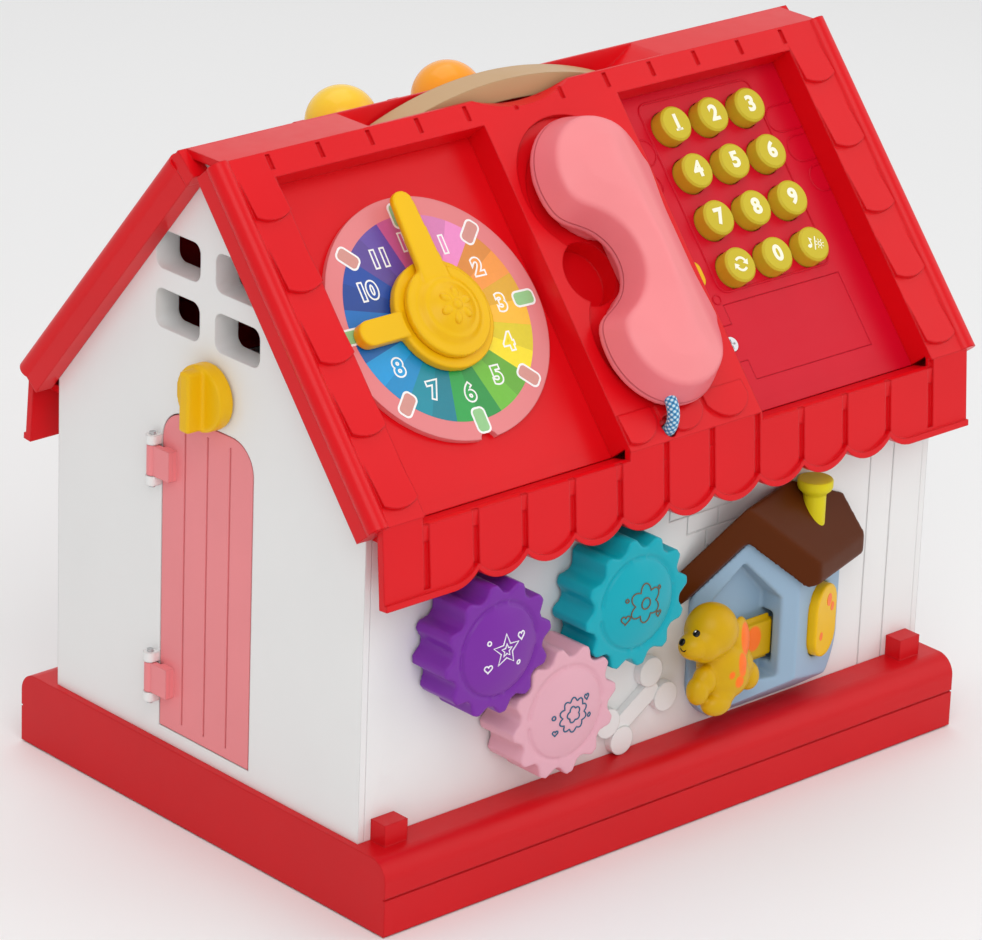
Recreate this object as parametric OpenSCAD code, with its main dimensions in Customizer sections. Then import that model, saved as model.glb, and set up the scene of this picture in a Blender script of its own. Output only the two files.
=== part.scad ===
// Activity house: a gable-roofed toy with a clock, a telephone, a keypad, meshed gears, a sliding dog and a
// latched side door. Millimetres. X runs along the ridge, -Y is the front and +Z is up.
// The origin is in the middle of the underside of the base plate.

/* [House] */
// Width over the gable walls
house_w = 294; // [288:1:310]
// Depth over the front and back walls
house_d = 178; // [174:1:190]
// Height from the base to the roof face at the eave
wall_rise = 129.4; // [128:0.1:140]
// Thickness of the front and back walls
wall_t = 2.5; // [2:0.1:3]
// Thickness of the gable walls
gable_t = 3; // [2.5:0.1:3.5]

/* [Base] */
// Height of the base under the walls
base_h = 30; // [26:1:36]
// Reach of the base past the gable walls
base_side = 3; // [2:0.5:6]
// Reach of the base past the front and back walls
base_front = 19; // [17:0.5:22]
// Radius of the upper edge of the base
base_round = 8; // [5:0.5:10]
// Thickness of the skirt and top of the base
base_t = 3; // [2.5:0.1:4]
// Thickness of the base plate
plate_t = 2.5; // [2:0.1:3]
// Height of the moulding line round the base
base_line = 15; // [12:0.5:18]

/* [Roof] */
// Slope of the roof in degrees
roof_slope = 50.3; // [49:0.1:52]
// Reach of the roof past the front and back walls
eave_reach = 13.3; // [12.5:0.1:15]
// Reach of the roof past the gable walls
gable_reach = 9; // [8:0.5:12]
// Half the width of the flat ridge
ridge_half = 10; // [9.5:0.5:12]
// Thickness of the roof skin
skin_t = 3; // [2.5:0.1:3.4]
// Depth of the recessed panels below the roof face
panel_depth = 11.5; // [10.5:0.5:13]
// Thickness of the recessed panels
panel_t = 2.5; // [2:0.1:3]
// Width of the tiled strip from the gable wall to a recess
strip_w = 16; // [14:0.5:18]
// Distance from the ridge to the recesses
recess_top = 10; // [9:0.5:11]
// Distance from the recesses to the eave
recess_low = 2.5; // [2:0.1:3.5]
// Thickness of the recess walls
recess_wall = 2.5; // [2:0.1:3]
// Radius of the roll along each gable edge
roll_r = 4.2; // [3.5:0.1:5]

/* [Tiles] */
// Pitch of the tiles along the eave
tile_pitch = 23.74; // [22:0.02:25]
// Length of a tile row on the slope
tile_row = 28.4; // [26:0.1:31]
// Lift of the lower edge of a tile
tile_lift = 1.8; // [1.2:0.1:2.4]
// Height of the eave skirt to its scallops
skirt_h = 30; // [27:0.5:30.4]
// Thickness of the eave skirt
skirt_t = 3; // [2.5:0.1:3.5]
// Flare of the eave skirt in degrees
skirt_flare = 4.5; // [2:0.5:7]
// Radius of a scallop
scallop_r = 14.6; // [13:0.1:17]
// Width of the groove between two skirt tiles
tile_groove = 3; // [2:0.1:4]
// Reach of the bead round the scallops
bead = 1.2; // [0.8:0.1:1.6]

/* [Handle] */
// Length of the handle
handle_l = 114; // [106:1:118]
// Width of the handle
handle_w = 12; // [10:0.5:13]
// Thickness of the handle
handle_t = 8.5; // [7:0.5:10]
// Outer radius of the arched handle
handle_r = 162.5; // [155:0.5:172]
// Rise of the handle over the ridge
handle_rise = 4.1; // [2:0.1:6]
// Depth of the well under the handle
well_depth = 20.6; // [19.5:0.1:22]
// Radius of the floor of the well
well_r = 147; // [142:1:152]

/* [Clock] */
// Width of the clock recess
clock_w = 101; // [100:0.5:103]
// Radius of the dial
dial_r = 48.3; // [44:0.1:49]
// Thickness of the dial
dial_t = 2.5; // [2:0.1:3]
// Radius of the spindle
spindle_r = 2.5; // [2:0.1:3]
// Radius of the hour hand's ring
hub_r = 21.5; // [20.5:0.1:23]
// Reach of the hour hand to the centre of its round end
hour_l = 36; // [32:0.5:39]
// Width of the hour hand
hour_w = 10; // [8:0.5:11]
// Reach of the minute hand to the centre of its round end
minute_l = 43.2; // [38:0.1:44]
// Width of the tip of the minute hand
minute_w = 9.2; // [8:0.1:11]

/* [Telephone] */
// Radius of the ear end of the handset
ear_r = 31; // [29:0.5:32]
// Radius of the mouth end of the handset
mouth_r = 30; // [29:0.5:31]
// Distance between the two ends
handset_span = 57; // [54:0.5:60]
// Height of the handset over the roof face
handset_h = 22; // [20:0.5:24]
// Height of the seam between the two shells
seam_h = 12; // [11:0.5:13]
// Thickness of the handset shells
shell_t = 4; // [3:0.5:5]
// Radius of the finger cut beside the grip
grip_cut_r = 30; // [27:0.5:31]
// Depth of the seat of the handset below the roof face
seat_depth = 3; // [3:0.1:3.4]
// Radius of the cord
cord_r = 2.4; // [2:0.1:2.5]

/* [Keypad] */
// Width of the keypad recess
keypad_w = 93; // [92:0.5:95]
// Spacing of the key columns
key_pitch = 20; // [19.6:0.1:20.5]
// Spacing of the key rows
key_row = 20.1; // [19.6:0.1:20.4]
// Radius of a key
key_r = 7.25; // [6.5:0.05:7.8]
// Height of a key over its panel
key_proud = 6.5; // [5:0.1:8]
// Travel of a key
key_travel = 2.5; // [2:0.1:3]
// Width of the battery door
cell_door_w = 62.8; // [61:0.1:64]
// Height of the battery door
cell_door_h = 31.1; // [30.6:0.1:32]
// Thickness of the battery door
cell_door_t = 1.6; // [1.2:0.1:1.8]
// Width of the slide switch
switch_w = 7; // [6:0.1:8]
// Length of the slide switch
switch_l = 10.8; // [9:0.1:11]
// Travel of the slide switch
switch_travel = 6.5; // [6:0.1:6.6]

/* [Gears] */
// Number of teeth on each gear
gear_teeth = 12; // [10:1:14]
// Pitch radius of each gear
gear_r = 24.5; // [23:0.1:25]
// Reach of a tooth outside the pitch circle
tooth_out = 1.4; // [1:0.1:1.8]
// Depth of a tooth inside the pitch circle
tooth_in = 2.3; // [2:0.1:3]
// Thickness of a gear
gear_t = 19; // [15:0.5:20]
// Rise of the domed centre over the gear's face
dome_rise = 3.4; // [2:0.1:4]
// Radius of the domed centre
dome_r = 18; // [15:0.1:19]
// Radius of a gear pin
gear_pin_r = 5; // [4:0.1:6]

/* [Dog house] */
// Projection of the corner of the dog house from the wall
kennel_out = 17.5; // [16.5:0.5:20]
// Height of the gable of the dog house over the base
kennel_h = 76; // [74:0.5:78]
// Thickness of the dog house roof, measured upright
kennel_roof_t = 15; // [12:0.5:15]
// Travel of the dog
dog_travel = 12; // [10:0.5:12]
// Width of the push button
button_w = 19; // [17:0.5:20]
// Height of the push button
button_h = 30; // [27:0.5:31]
// Travel of the push button
button_travel = 5; // [4:0.1:5]

/* [Side door] */
// Width of the door
door_w = 52; // [48:0.5:56]
// Height of the door
door_h = 128.6; // [122:0.1:130]
// Thickness of the door
door_t = 2.5; // [2:0.1:2.9]
// Radius of the upper corners of the door
door_round = 12; // [8:0.5:16]
// Radius of a door hinge pin
hinge_pin_r = 1.25; // [1:0.05:1.4]
// Radius of the latch knob
latch_r = 12.8; // [11:0.1:13]
// Width of a window pane
pane_w = 25.5; // [23:0.1:26]
// Height of a window pane
pane_h = 15.2; // [13:0.1:16]

/* [Balls] */
// Radius of the balls on the rear slope
ball_r = 14; // [12:0.1:14.5]
// Radius of the ball axle
axle_r = 1.5; // [1.2:0.1:2]

/* [Fits] */
// Clearance of a shaft in its bore
run_gap = 0.06; // [0.03:0.01:0.1]
// Clearance between sliding or swinging pieces
move_gap = 0.35; // [0.3:0.05:0.5]
// Clearance between pieces that seat on each other
seat_gap = 0.1; // [0.05:0.05:0.2]

/* [Hidden] */
$fn = 48;

// Overrun of a cutting shape past the face that it cuts, and overlap of two joined shapes
cut = 1;

half_w = house_w / 2;
half_d = house_d / 2;
front = -half_d;
eave_y = half_d + eave_reach;
eave_z = base_h + wall_rise;
roof_run = eave_y - ridge_half;
eave_s = roof_run / cos(roof_slope);
ridge_z = eave_z + roof_run * tan(roof_slope);
roof_half = half_w + gable_reach - 5;
recess_end = eave_s - recess_low;
panel_face = -panel_depth;
panel_under = panel_face - panel_t;
clock_win = [strip_w - half_w, strip_w - half_w + clock_w];
key_win = [half_w - strip_w - keypad_w, half_w - strip_w];
cradle_x = (clock_win[1] + key_win[0]) / 2;
ear_s = recess_top + 36;
mouth_s = ear_s + handset_span;
wall_top = eave_z - 10.4;
ledge_t = 3;
sill_z = eave_z - 3.4;
inner_half = half_w - gable_t;

// A box given by its two limits on each axis.
module box3(x0, x1, y0, y1, z0, z1) {
    translate([x0, y0, z0]) cube([x1 - x0, y1 - y0, z1 - z0]);
}

// Front slope frame: x along the ridge, -y down the slope, z out of the roof.
module on_slope() {
    translate([0, -ridge_half, ridge_z]) rotate([roof_slope, 0, 0]) children();
}

module on_back_slope() {
    mirror([0, 1, 0]) on_slope() children();
}

// A box in the slope frame: s is the distance down the slope, h the height over the roof face.
module slab(x0, x1, s0, s1, h0, h1) {
    box3(x0, x1, -s1, -s0, h0, h1);
}

// A cylinder square to the slope.
module peg(x, s, h0, h1, r) {
    translate([x, -s, h0]) cylinder(r = r, h = h1 - h0);
}

// Cylinders along X, along Y, and along X in the slope frame.
module rod_x(x0, x1, y, z, r) {
    translate([x0, y, z]) rotate([0, 90, 0]) cylinder(r = r, h = x1 - x0);
}

module rod_y(x, y0, y1, z, r) {
    translate([x, y1, z]) rotate([90, 0, 0]) cylinder(r = r, h = y1 - y0);
}

module rod_slope(x0, x1, s, h, r) {
    translate([x0, -s, h]) rotate([0, 90, 0]) cylinder(r = r, h = x1 - x0);
}

// A flat shape drawn in Y and Z, thickened along X from x0 to x1.
module along_x(x0, x1) {
    translate([x0, 0, 0]) rotate([90, 0, 90]) linear_extrude(x1 - x0) children();
}

// A flat shape drawn in X and Z, thickened towards the front from y1 to y0.
module along_y(y0, y1) {
    translate([0, y1, 0]) rotate([90, 0, 0]) linear_extrude(y1 - y0) children();
}

// Rectangle with round corners in plan.
module round_rect(x0, x1, y0, y1, r) {
    translate([x0 + r, y0]) square([x1 - x0 - 2 * r, y1 - y0]);
    translate([x0, y0 + r]) square([x1 - x0, y1 - y0 - 2 * r]);
    for (x = [x0 + r, x1 - r], y = [y0 + r, y1 - r]) translate([x, y]) circle(r = r);
}

// Base

base_x = half_w + base_side;
base_y = half_d + base_front;
base_top_t = base_t + 1;
rim_clear = 0.6;
plate_gap = 0.3;
boss_r = 4.5;
base_screw_r = 1.4;
base_head_r = 3.2;
base_head_t = 1;
base_screw_l = 11;
base_screw_inset = 20;
base_screws_at = [for (x = [-1, 0, 1], y = [-1, 1]) [x * (base_x - base_screw_inset), y * (base_y - base_screw_inset)]];
kerb = [half_w - 17, half_w - 6];
kerb_d = 8;
kerb_h = 8.5;

module base_profile() {
    translate([-base_y, rim_clear]) square([2 * base_y, base_h - base_round - rim_clear]);
    translate([base_round - base_y, rim_clear]) square([2 * (base_y - base_round), base_h - rim_clear]);
    for (side = [-1, 1]) translate([side * (base_y - base_round), base_h - base_round]) circle(r = base_round);
}

module base_tray() {
    line_w = 0.8;
    color("firebrick") {
        difference() {
            along_x(-base_x, base_x) base_profile();
            box3(base_t - base_x, base_x - base_t, base_t - base_y, base_y - base_t, -cut, base_h - base_top_t);
            for (side = [0, 1]) mirror([0, side, 0])
                box3(-base_x - cut, base_x + cut, -base_y - cut, line_w - base_y, base_line, base_line + line_w);
        }
        for (p = base_screws_at) translate([p[0], p[1], plate_t]) difference() {
            cylinder(r = boss_r, h = base_h - base_top_t - plate_t + cut);
            translate([0, 0, -cut]) cylinder(r = base_screw_r, h = base_screw_l + 2);
        }
        for (side = [0, 1]) mirror([side, 0, 0])
            box3(kerb[0], kerb[1], front - kerb_d, front - seat_gap, base_h - cut, base_h + kerb_h);
    }
}

module base_plate() {
    color("firebrick") difference() {
        box3(base_t + plate_gap - base_x, base_x - base_t - plate_gap,
             base_t + plate_gap - base_y, base_y - base_t - plate_gap, 0, plate_t);
        for (p = base_screws_at) translate([p[0], p[1], -cut]) {
            cylinder(r = base_screw_r + 0.3, h = plate_t + 2 * cut);
            cylinder(r = base_head_r + 0.2, h = cut + base_head_t + 0.3);
        }
    }
}

module base_screws() {
    color("silver") for (p = base_screws_at) translate([p[0], p[1], 0.3]) {
        cylinder(r = base_head_r, h = base_head_t);
        cylinder(r = base_screw_r, h = base_screw_l);
    }
}

// Walls

brick = [19, 8];
brick_joint = 0.6;
brick_depth = 0.5;
bricks_at = [[-1, 84], [9, 92], [107, 30], [116, 38], [107, 46], [-136, 8], [-127, 16], [-136, 24]];
wall_joints = [114, 127];

// Square-ended groove round one brick.
module brick_line(x, z) {
    along_y(front - cut, front + brick_depth) translate([x, base_h + z]) difference() {
        square(brick);
        translate([brick_joint, brick_joint]) square([brick[0] - 2 * brick_joint, brick[1] - 2 * brick_joint]);
    }
}

// Raised bone, two knobs at each end of a slanted bar.
module bone() {
    knob_r = 6;
    rise = 3.5;
    for (p = [[-4, 30.4], [4.4, 18], [-25.6, 15], [-18, 5.9]])
        rod_y(p[0], front - rise, front + cut, base_h + p[1], knob_r - (p[1] < 6 ? 0.2 : 0));
    translate([-11, front, base_h + 17.2]) rotate([0, -33, 0]) box3(-13, 13, 0.5 - rise, cut, -4, 4);
}

module front_wall() {
    color("whitesmoke") {
        difference() {
            box3(-inner_half, inner_half, front, front + wall_t, base_h, wall_top);
            for (c = gear_centres) rod_y(c[0], front - cut, front + wall_t + cut, c[1], gear_pin_r - 1);
            for (b = bricks_at) brick_line(b[0], b[1]);
            for (x = wall_joints)
                box3(x, x + brick_joint, front - cut, front + brick_depth, base_h - cut, wall_top + cut);
            cord_channel();
        }
        bone();
    }
}

module back_wall() {
    color("whitesmoke") difference() {
        box3(-inner_half, inner_half, half_d - wall_t, half_d, base_h, wall_top);
        for (i = [-2 : 2], k = [-2 : 2])
            rod_y(i * speaker_pitch, half_d - wall_t - cut, half_d + cut, speaker_z + k * speaker_pitch, 2);
    }
}

// Gable up to the underside of the roof skin.
module gable_outline() {
    drop = skin_t / cos(roof_slope) + seat_gap;
    under_eave = ridge_z - (half_d - ridge_half) * tan(roof_slope) - drop;
    top = ridge_z - skin_t - seat_gap;
    top_y = ridge_half - (drop - skin_t - seat_gap) / tan(roof_slope);
    polygon([[-half_d, base_h], [-half_d, under_eave], [-top_y, top], [top_y, top], [half_d, under_eave],
             [half_d, base_h]]);
}

pane_step = [pane_w + 8.8, pane_h + 7.8];
pane_at = [1.4 - pane_w - 4.4, base_h + 166];
pane_round = 4;
reveal_t = 1.5;
reveal_d = 8;

module panes(grow) {
    for (i = [0, 1], k = [0, 1]) translate([pane_at[0] + i * pane_step[0], pane_at[1] + k * pane_step[1]])
        round_rect(-grow, pane_w + grow, -grow, pane_h + grow, pane_round + grow);
}

door_low = base_h + 6.4;
door_top = door_low + door_h;
door_gap = 0.5;

module door_outline(grow) {
    half = door_w / 2 + grow;
    round = door_round;
    translate([-half, door_low - grow]) square([2 * half, door_h - round + grow]);
    translate([round - door_w / 2, door_top - round - cut]) square([door_w - 2 * round, round + cut + grow]);
    for (side = [-1, 1]) translate([side * (door_w / 2 - round), door_top - round]) circle(r = round + grow);
}

hinge = [-half_w - 2.6, door_w / 2 + 3];
hinge_z = [base_h + 20, base_h + 108];
knuckle_h = 12;
lug_h = 3.7;
lug_r = 2.6;
knuckle_r = 2.25;
lug_gap = 0.3;

module hinge_lug(z) {
    difference() {
        union() {
            translate([hinge[0], hinge[1], z]) cylinder(r = lug_r, h = lug_h);
            box3(hinge[0], cut - half_w, hinge[1] - lug_r, hinge[1] + lug_r, z, z + lug_h);
        }
        translate([hinge[0], hinge[1], z - cut]) cylinder(r = hinge_pin_r, h = lug_h + 2 * cut);
    }
}

module left_wall() {
    color("whitesmoke") {
        along_x(-half_w, -inner_half) difference() {
            gable_outline();
            door_outline(door_gap);
            panes(0);
            translate([latch_y, latch_z]) circle(r = latch_shaft_r + run_gap);
        }
        along_x(-inner_half - cut, reveal_d - inner_half) difference() {
            panes(reveal_t);
            panes(0);
        }
        for (z = hinge_z) {
            hinge_lug(z - lug_gap - lug_h);
            hinge_lug(z + knuckle_h + lug_gap);
        }
    }
}

module right_wall() {
    color("whitesmoke") along_x(inner_half, half_w) gable_outline();
}

// Roof

well_x = -6;
well_z = ridge_z - well_depth;
well_half = sqrt(well_r * well_r - (well_r - well_depth) * (well_r - well_depth)) + cut;
dip_r = 66;
dip_depth = 4.6;
ridge_lap = 6;
barge_drop = 12;
ledge_edge = eave_y - 0.7;

// Cross-section of the handle's well, grown for its outer skin.
module well_section(grow) {
    low = well_z - grow;
    half_low = handle_w / 2 - 1.6 + grow;
    half_top = ridge_half - 0.9 + grow / 3;
    polygon([[-half_top, ridge_z + (grow > 0 ? -0.6 : cut)], [-half_low, low], [half_low, low],
             [half_top, ridge_z + (grow > 0 ? -0.6 : cut)]]);
}

module handle_well() {
    intersection() {
        along_x(well_x - well_half, well_x + well_half) well_section(0);
        rod_y(well_x, -3 * ridge_half, 3 * ridge_half, well_z + well_r, well_r);
    }
}

// Skirt frame: x along the eave, y up from the eave edge, z out of the skirt.
module on_skirt() {
    translate([0, 0.2 - eave_y, eave_z]) rotate([90 - skirt_flare, 0, 0]) children();
}

// Scalloped outline of the eave skirt, with straight ends past the last scallop.
module skirt_outline(grow) {
    scallop_y = scallop_r - skirt_h;
    last = 5;
    cusp_y = scallop_y - sqrt(scallop_r * scallop_r - tile_pitch * tile_pitch / 4);
    translate([-roof_half, cusp_y - grow]) square([2 * roof_half, -cusp_y + grow]);
    for (k = [-last : last]) intersection() {
        translate([k * tile_pitch, scallop_y]) circle(r = scallop_r + grow);
        translate([(k - 0.5) * tile_pitch, -skirt_h - 2 * cut]) square([tile_pitch, skirt_h]);
    }
    for (side = [0, 1]) mirror([side, 0])
        translate([last * tile_pitch, -skirt_h - grow]) square([roof_half - last * tile_pitch, skirt_h]);
}

module skirt() {
    groove_d = 1.4;
    on_skirt() {
        difference() {
            translate([0, 0, -skirt_t]) linear_extrude(skirt_t) skirt_outline(0);
            for (k = [-6 : 5]) translate([(k + 0.5) * tile_pitch - tile_groove / 2, 2 * bead - skirt_h, -groove_d])
                cube([tile_groove, skirt_h, groove_d + cut]);
        }
        translate([0, 0, -skirt_t]) linear_extrude(skirt_t + bead) difference() {
            skirt_outline(bead);
            translate([0, bead * 2]) skirt_outline(bead);
            translate([-roof_half - cut, -skirt_h / 2]) square([2 * roof_half + 2 * cut, skirt_h]);
        }
    }
}

// A tile whose lower edge is an arc of the given radius, lifted off the roof face.
module tile(x0, x1, s_low, length, arc_r) {
    mid = (x0 + x1) / 2;
    thick = 2.4;
    sink = 0.8;
    translate([mid, -s_low, tile_lift - thick]) rotate([-atan((tile_lift + sink) / length), 0, 0]) linear_extrude(thick)
        intersection() {
            translate([(x0 - x1) / 2, 0]) square([x1 - x0, length]);
            union() {
                translate([0, arc_r]) circle(r = arc_r);
                translate([(x0 - x1) / 2, arc_r]) square([x1 - x0, length]);
            }
        }
}

// Roll, barge board and tile rows along both gable edges of one slope.
module gable_edges(s0) {
    tile_end = eave_s - 4.9;
    for (side = [0, 1]) mirror([side, 0, 0]) {
        slab(half_w + 0.2, half_w + gable_reach - 1, s0, eave_s, -barge_drop, -1);
        translate([half_w + gable_reach - roll_r, -s0, -2]) rotate([90, 0, 0]) cylinder(r = roll_r, h = eave_s - s0);
        for (row = [0 : 4]) if (tile_end - row * tile_row > s0 + tile_row / 2)
            tile(half_w - strip_w + recess_wall - 2, half_w + 0.3, tile_end - row * tile_row,
                 min(tile_row, tile_end - row * tile_row - s0), tile_pitch * 0.6);
    }
}

module recess_walls(w) {
    slab(w[0] - recess_wall, w[0], recess_top - recess_wall, recess_end, panel_face, -cut);
    slab(w[1], w[1] + recess_wall, recess_top - recess_wall, recess_end, panel_face, -cut);
    slab(w[0] - cut, w[1] + cut, recess_top - recess_wall, recess_top, panel_face, -cut);
}

// Rising strip from the foot of a recess to the skirt.
module sill(w) {
    difference() {
        along_x(w[0] - cut, w[1] + cut)
            polygon([[0.3 - eave_y, wall_top + 0.5], [0.3 - eave_y, sill_z - 0.2], [front, sill_z - 2.6], [front, wall_top + 0.5]]);
        on_slope() slab(w[0] - 2 * cut, w[1] + 2 * cut, 0, recess_end + 0.5, -40, cut);
    }
}

module handset_foot(grow) {
    translate([cradle_x, -ear_s]) circle(r = ear_r - 5 + grow);
    translate([cradle_x - 1, -mouth_s]) circle(r = mouth_r - 4 + grow);
    translate([cradle_x - 4 - grow, -mouth_s]) square([28 + 2 * grow, handset_span]);
}

finger_cup = [cradle_x - 15, (ear_s + mouth_s) / 2];
finger_cup_r = 13;
notch_w = 2;

module roof_front() {
    color("red") difference() {
        union() {
            on_slope() {
                difference() {
                    slab(-roof_half, roof_half, 0, eave_s, -skin_t, 0);
                    for (w = [clock_win, key_win])
                        slab(w[0], w[1], recess_top, eave_s + cut, -skin_t - cut, cut);
                    translate([0, 0, -skin_t - cut]) linear_extrude(skin_t + 2 * cut) handset_foot(cut);
                    peg(finger_cup[0], finger_cup[1], -skin_t - cut, cut, finger_cup_r);
                }
                recess_walls(clock_win);
                recess_walls(key_win);
                gable_edges(0);
                for (k = [-1 : 1]) intersection() {
                    tile(k * tile_pitch - tile_pitch / 2 + 1.2, k * tile_pitch + tile_pitch / 2 - 1.2, eave_s - 1.6,
                         tile_row, tile_pitch / 2);
                    slab(clock_win[1] + 0.6, key_win[0] - 0.6, mouth_s + mouth_r - 4 + cut, eave_s, -skin_t / 2, 10);
                }
            }
            on_back_slope() slab(-roof_half, roof_half, 0, ridge_lap, -skin_t, 0);
            on_back_slope() for (side = [0, 1]) mirror([side, 0, 0])
                slab(half_w + 0.2, half_w + gable_reach - 1, 0, ridge_lap, -barge_drop, 0);
            box3(-roof_half, roof_half, -ridge_half, ridge_half, ridge_z - skin_t, ridge_z);
            along_x(well_x - well_half - cut, well_x + well_half + cut) well_section(1.5);
            box3(well_x - 28, well_x + 28, -ridge_half - 2.6, 4 - ridge_half, ridge_z - 10.6, ridge_z - dip_depth + 0.4);
            difference() {
                skirt();
                for (w = [clock_win, key_win]) box3(w[0] + 0.3, w[1] - 0.3, -2 * eave_y, 0, sill_z, ridge_z);
            }
            for (w = [clock_win, key_win]) sill(w);
            box3(seat_gap - inner_half, inner_half - seat_gap, -ledge_edge, front + wall_t, wall_top, wall_top + ledge_t);
        }
        handle_well();
        rod_y(well_x, -ridge_half - 6, 6 - ridge_half, ridge_z - dip_depth + dip_r, dip_r);
        for (k = [-6 : 5]) on_slope()
            slab((k + 0.5) * tile_pitch - notch_w / 2, (k + 0.5) * tile_pitch + notch_w / 2, 1, recess_top - 3, -1.2, cut);
        cord_channel();
    }
}

ball_s = 22.5;
ball_out = 7.3;
ball_gap = 0.8;
cup_t = 2.2;
bracket_w = 4;
bracket_d = 8;
balls_x = [-60, -7];
brackets_x = [balls_x[0] - ball_r - 6, (balls_x[0] + balls_x[1]) / 2, balls_x[1] + ball_r + 8];

module roof_back() {
    color("red") on_back_slope() difference() {
        union() {
            slab(-roof_half, roof_half, ridge_lap, eave_s, -skin_t, 0);
            gable_edges(ridge_lap);
            intersection() {
                for (x = balls_x) translate([x, -ball_s, ball_out]) sphere(r = ball_r + ball_gap + cup_t);
                slab(-roof_half, roof_half, ridge_lap + 0.5, eave_s, -3 * ball_r, -cut);
            }
            for (x = brackets_x) {
                slab(x - bracket_w / 2, x + bracket_w / 2, ball_s - bracket_d / 2, ball_s + bracket_d / 2, -cut, ball_out);
                rod_slope(x - bracket_w / 2, x + bracket_w / 2, ball_s, ball_out, bracket_d / 2);
            }
        }
        for (x = balls_x) translate([x, -ball_s, ball_out]) sphere(r = ball_r + ball_gap);
        rod_slope(brackets_x[0] - bracket_w, brackets_x[2] + bracket_w, ball_s, ball_out, axle_r + 0.02);
    }
    color("red") mirror([0, 1, 0]) {
        skirt();
        box3(seat_gap - inner_half, inner_half - seat_gap, -ledge_edge, front + wall_t, wall_top, wall_top + ledge_t);
    }
}

handle_x = -10;

module handle() {
    arch_z = ridge_z + handle_rise - handle_r;
    half = handle_w / 2;
    color("tan") intersection() {
        difference() {
            rod_y(handle_x, -half, half, arch_z, handle_r);
            rod_y(handle_x, -half - cut, half + cut, arch_z, handle_r - handle_t);
        }
        rod_y(well_x, -half - cut, half + cut, well_z + well_r, well_r - 0.02);
        box3(handle_x - handle_l / 2, handle_x + handle_l / 2, -handle_w, handle_w, well_z, ridge_z + 2 * handle_t);
    }
}

// Clock

clock_x = (clock_win[0] + clock_win[1]) / 2;
clock_s = (recess_top + recess_end) / 2 - 2.2;
dial_face = panel_face + dial_t;
hand_gap = 0.3;
ring_t = 4;
hour_t = 5;
disc_t = 3;
disc_h = dial_face + hand_gap + ring_t + hand_gap;
disc_r = hub_r - 3.5;
notch_r = 4;

// A panel at the foot of a recess, cut back from the handle's well.
module recess_panel(w) {
    difference() {
        slab(w[0] - recess_wall, w[1] + recess_wall, recess_top - recess_wall, recess_end, panel_under, panel_face);
        rotate([-roof_slope, 0, 0]) translate([0, ridge_half, -ridge_z])
            along_x(well_x - well_half - 2 * cut, well_x + well_half + 2 * cut) well_section(1.5 + seat_gap);
    }
}

module clock_panel() {
    color("crimson") on_slope() difference() {
        recess_panel(clock_win);
        peg(clock_x, clock_s, panel_under - cut, panel_face + cut, spindle_r);
    }
}

module clock_dial() {
    color("pink") on_slope() difference() {
        peg(clock_x, clock_s, panel_face, dial_face, dial_r);
        peg(clock_x, clock_s, panel_face - cut, dial_face + cut, spindle_r);
        peg(clock_x - 1, clock_s + dial_r + 1, panel_face - cut, dial_face + cut, notch_r);
    }
}

module clock_spindle() {
    head_t = 2;
    color("silver") on_slope() {
        peg(clock_x, clock_s, panel_under - head_t, disc_h + disc_t, spindle_r);
        peg(clock_x, clock_s, panel_under - head_t, panel_under, 2 * spindle_r);
    }
}

module hour_hand() {
    color("gold") on_slope() translate([clock_x, -clock_s, dial_face + hand_gap]) difference() {
        union() {
            cylinder(r = hub_r, h = ring_t);
            linear_extrude(hour_t) {
                translate([-hour_l, -hour_w / 2]) square([hour_l, hour_w]);
                translate([-hour_l, 0]) circle(r = hour_w / 2);
            }
        }
        translate([0, 0, ring_t]) cylinder(r = disc_r + 1.2, h = hour_t);
        translate([0, 0, -cut]) cylinder(r = spindle_r + run_gap, h = hour_t + 2 * cut);
    }
}

module minute_hand() {
    root_w = 1.4 * minute_w;
    cap_r = 16;
    color("gold") on_slope() translate([clock_x, -clock_s, disc_h]) difference() {
        union() {
            cylinder(r = disc_r, h = disc_t);
            translate([0, 0, disc_t - 0.5]) cylinder(r1 = disc_r - 3.5, r2 = disc_r - 6.5, h = 2.5);
            translate([0, 0, disc_t + 5.6 - cap_r]) intersection() {
                sphere(r = cap_r);
                translate([-cap_r, -cap_r, 9.5]) cube(2 * cap_r);
            }
            translate([0, 0, 1]) linear_extrude(disc_t) {
                polygon([[-root_w / 2, 8], [root_w / 2, 8], [minute_w / 2, minute_l], [-minute_w / 2, minute_l]]);
                translate([0, minute_l]) circle(r = minute_w / 2);
            }
        }
        translate([0, 0, -cut]) cylinder(r = spindle_r + run_gap, h = disc_t + 2 * cut);
    }
}

// Telephone

ear_x = cradle_x - 1;
mouth_x = cradle_x - 2;
grip_x = [cradle_x - 18, cradle_x + 28.3];
lobe_base = 1.5;
handset_screw_x = cradle_x + 4;
handset_screw_r = 1.5;
handset_head_r = 2.9;
cord_x = cradle_x - 12;
cord_s = eave_s - 4;
cord_gap = 0.5;

// Route of the cord in the slope frame: distance down the slope and height over the roof face.
// It leaves the mouth end, turns in through the eave and hangs inside the house to its knot.
cord_route = [[118, 7], [122, 7], [126, 7], [130.4, 7], [133, 6.7], [135.5, 5.7], [137.6, 4.1], [139.2, 2],
              [140.2, -0.4], [140.5, -3], [140.5, -9], [140.5, -16], [140.5, -23], [140.5, -30], [140.5, -37],
              [140.5, -44], [140.6, -48], [141.5, -53], [143.6, -57.6], [146.7, -61.4], [150.5, -64.6], [155, -68.4],
              [159.7, -72.3], [164.3, -76.1], [167, -78.3], [169.6, -80.5], [172, -82.5]];
cord_sides = 10;
knot_r = 4.2;

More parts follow.
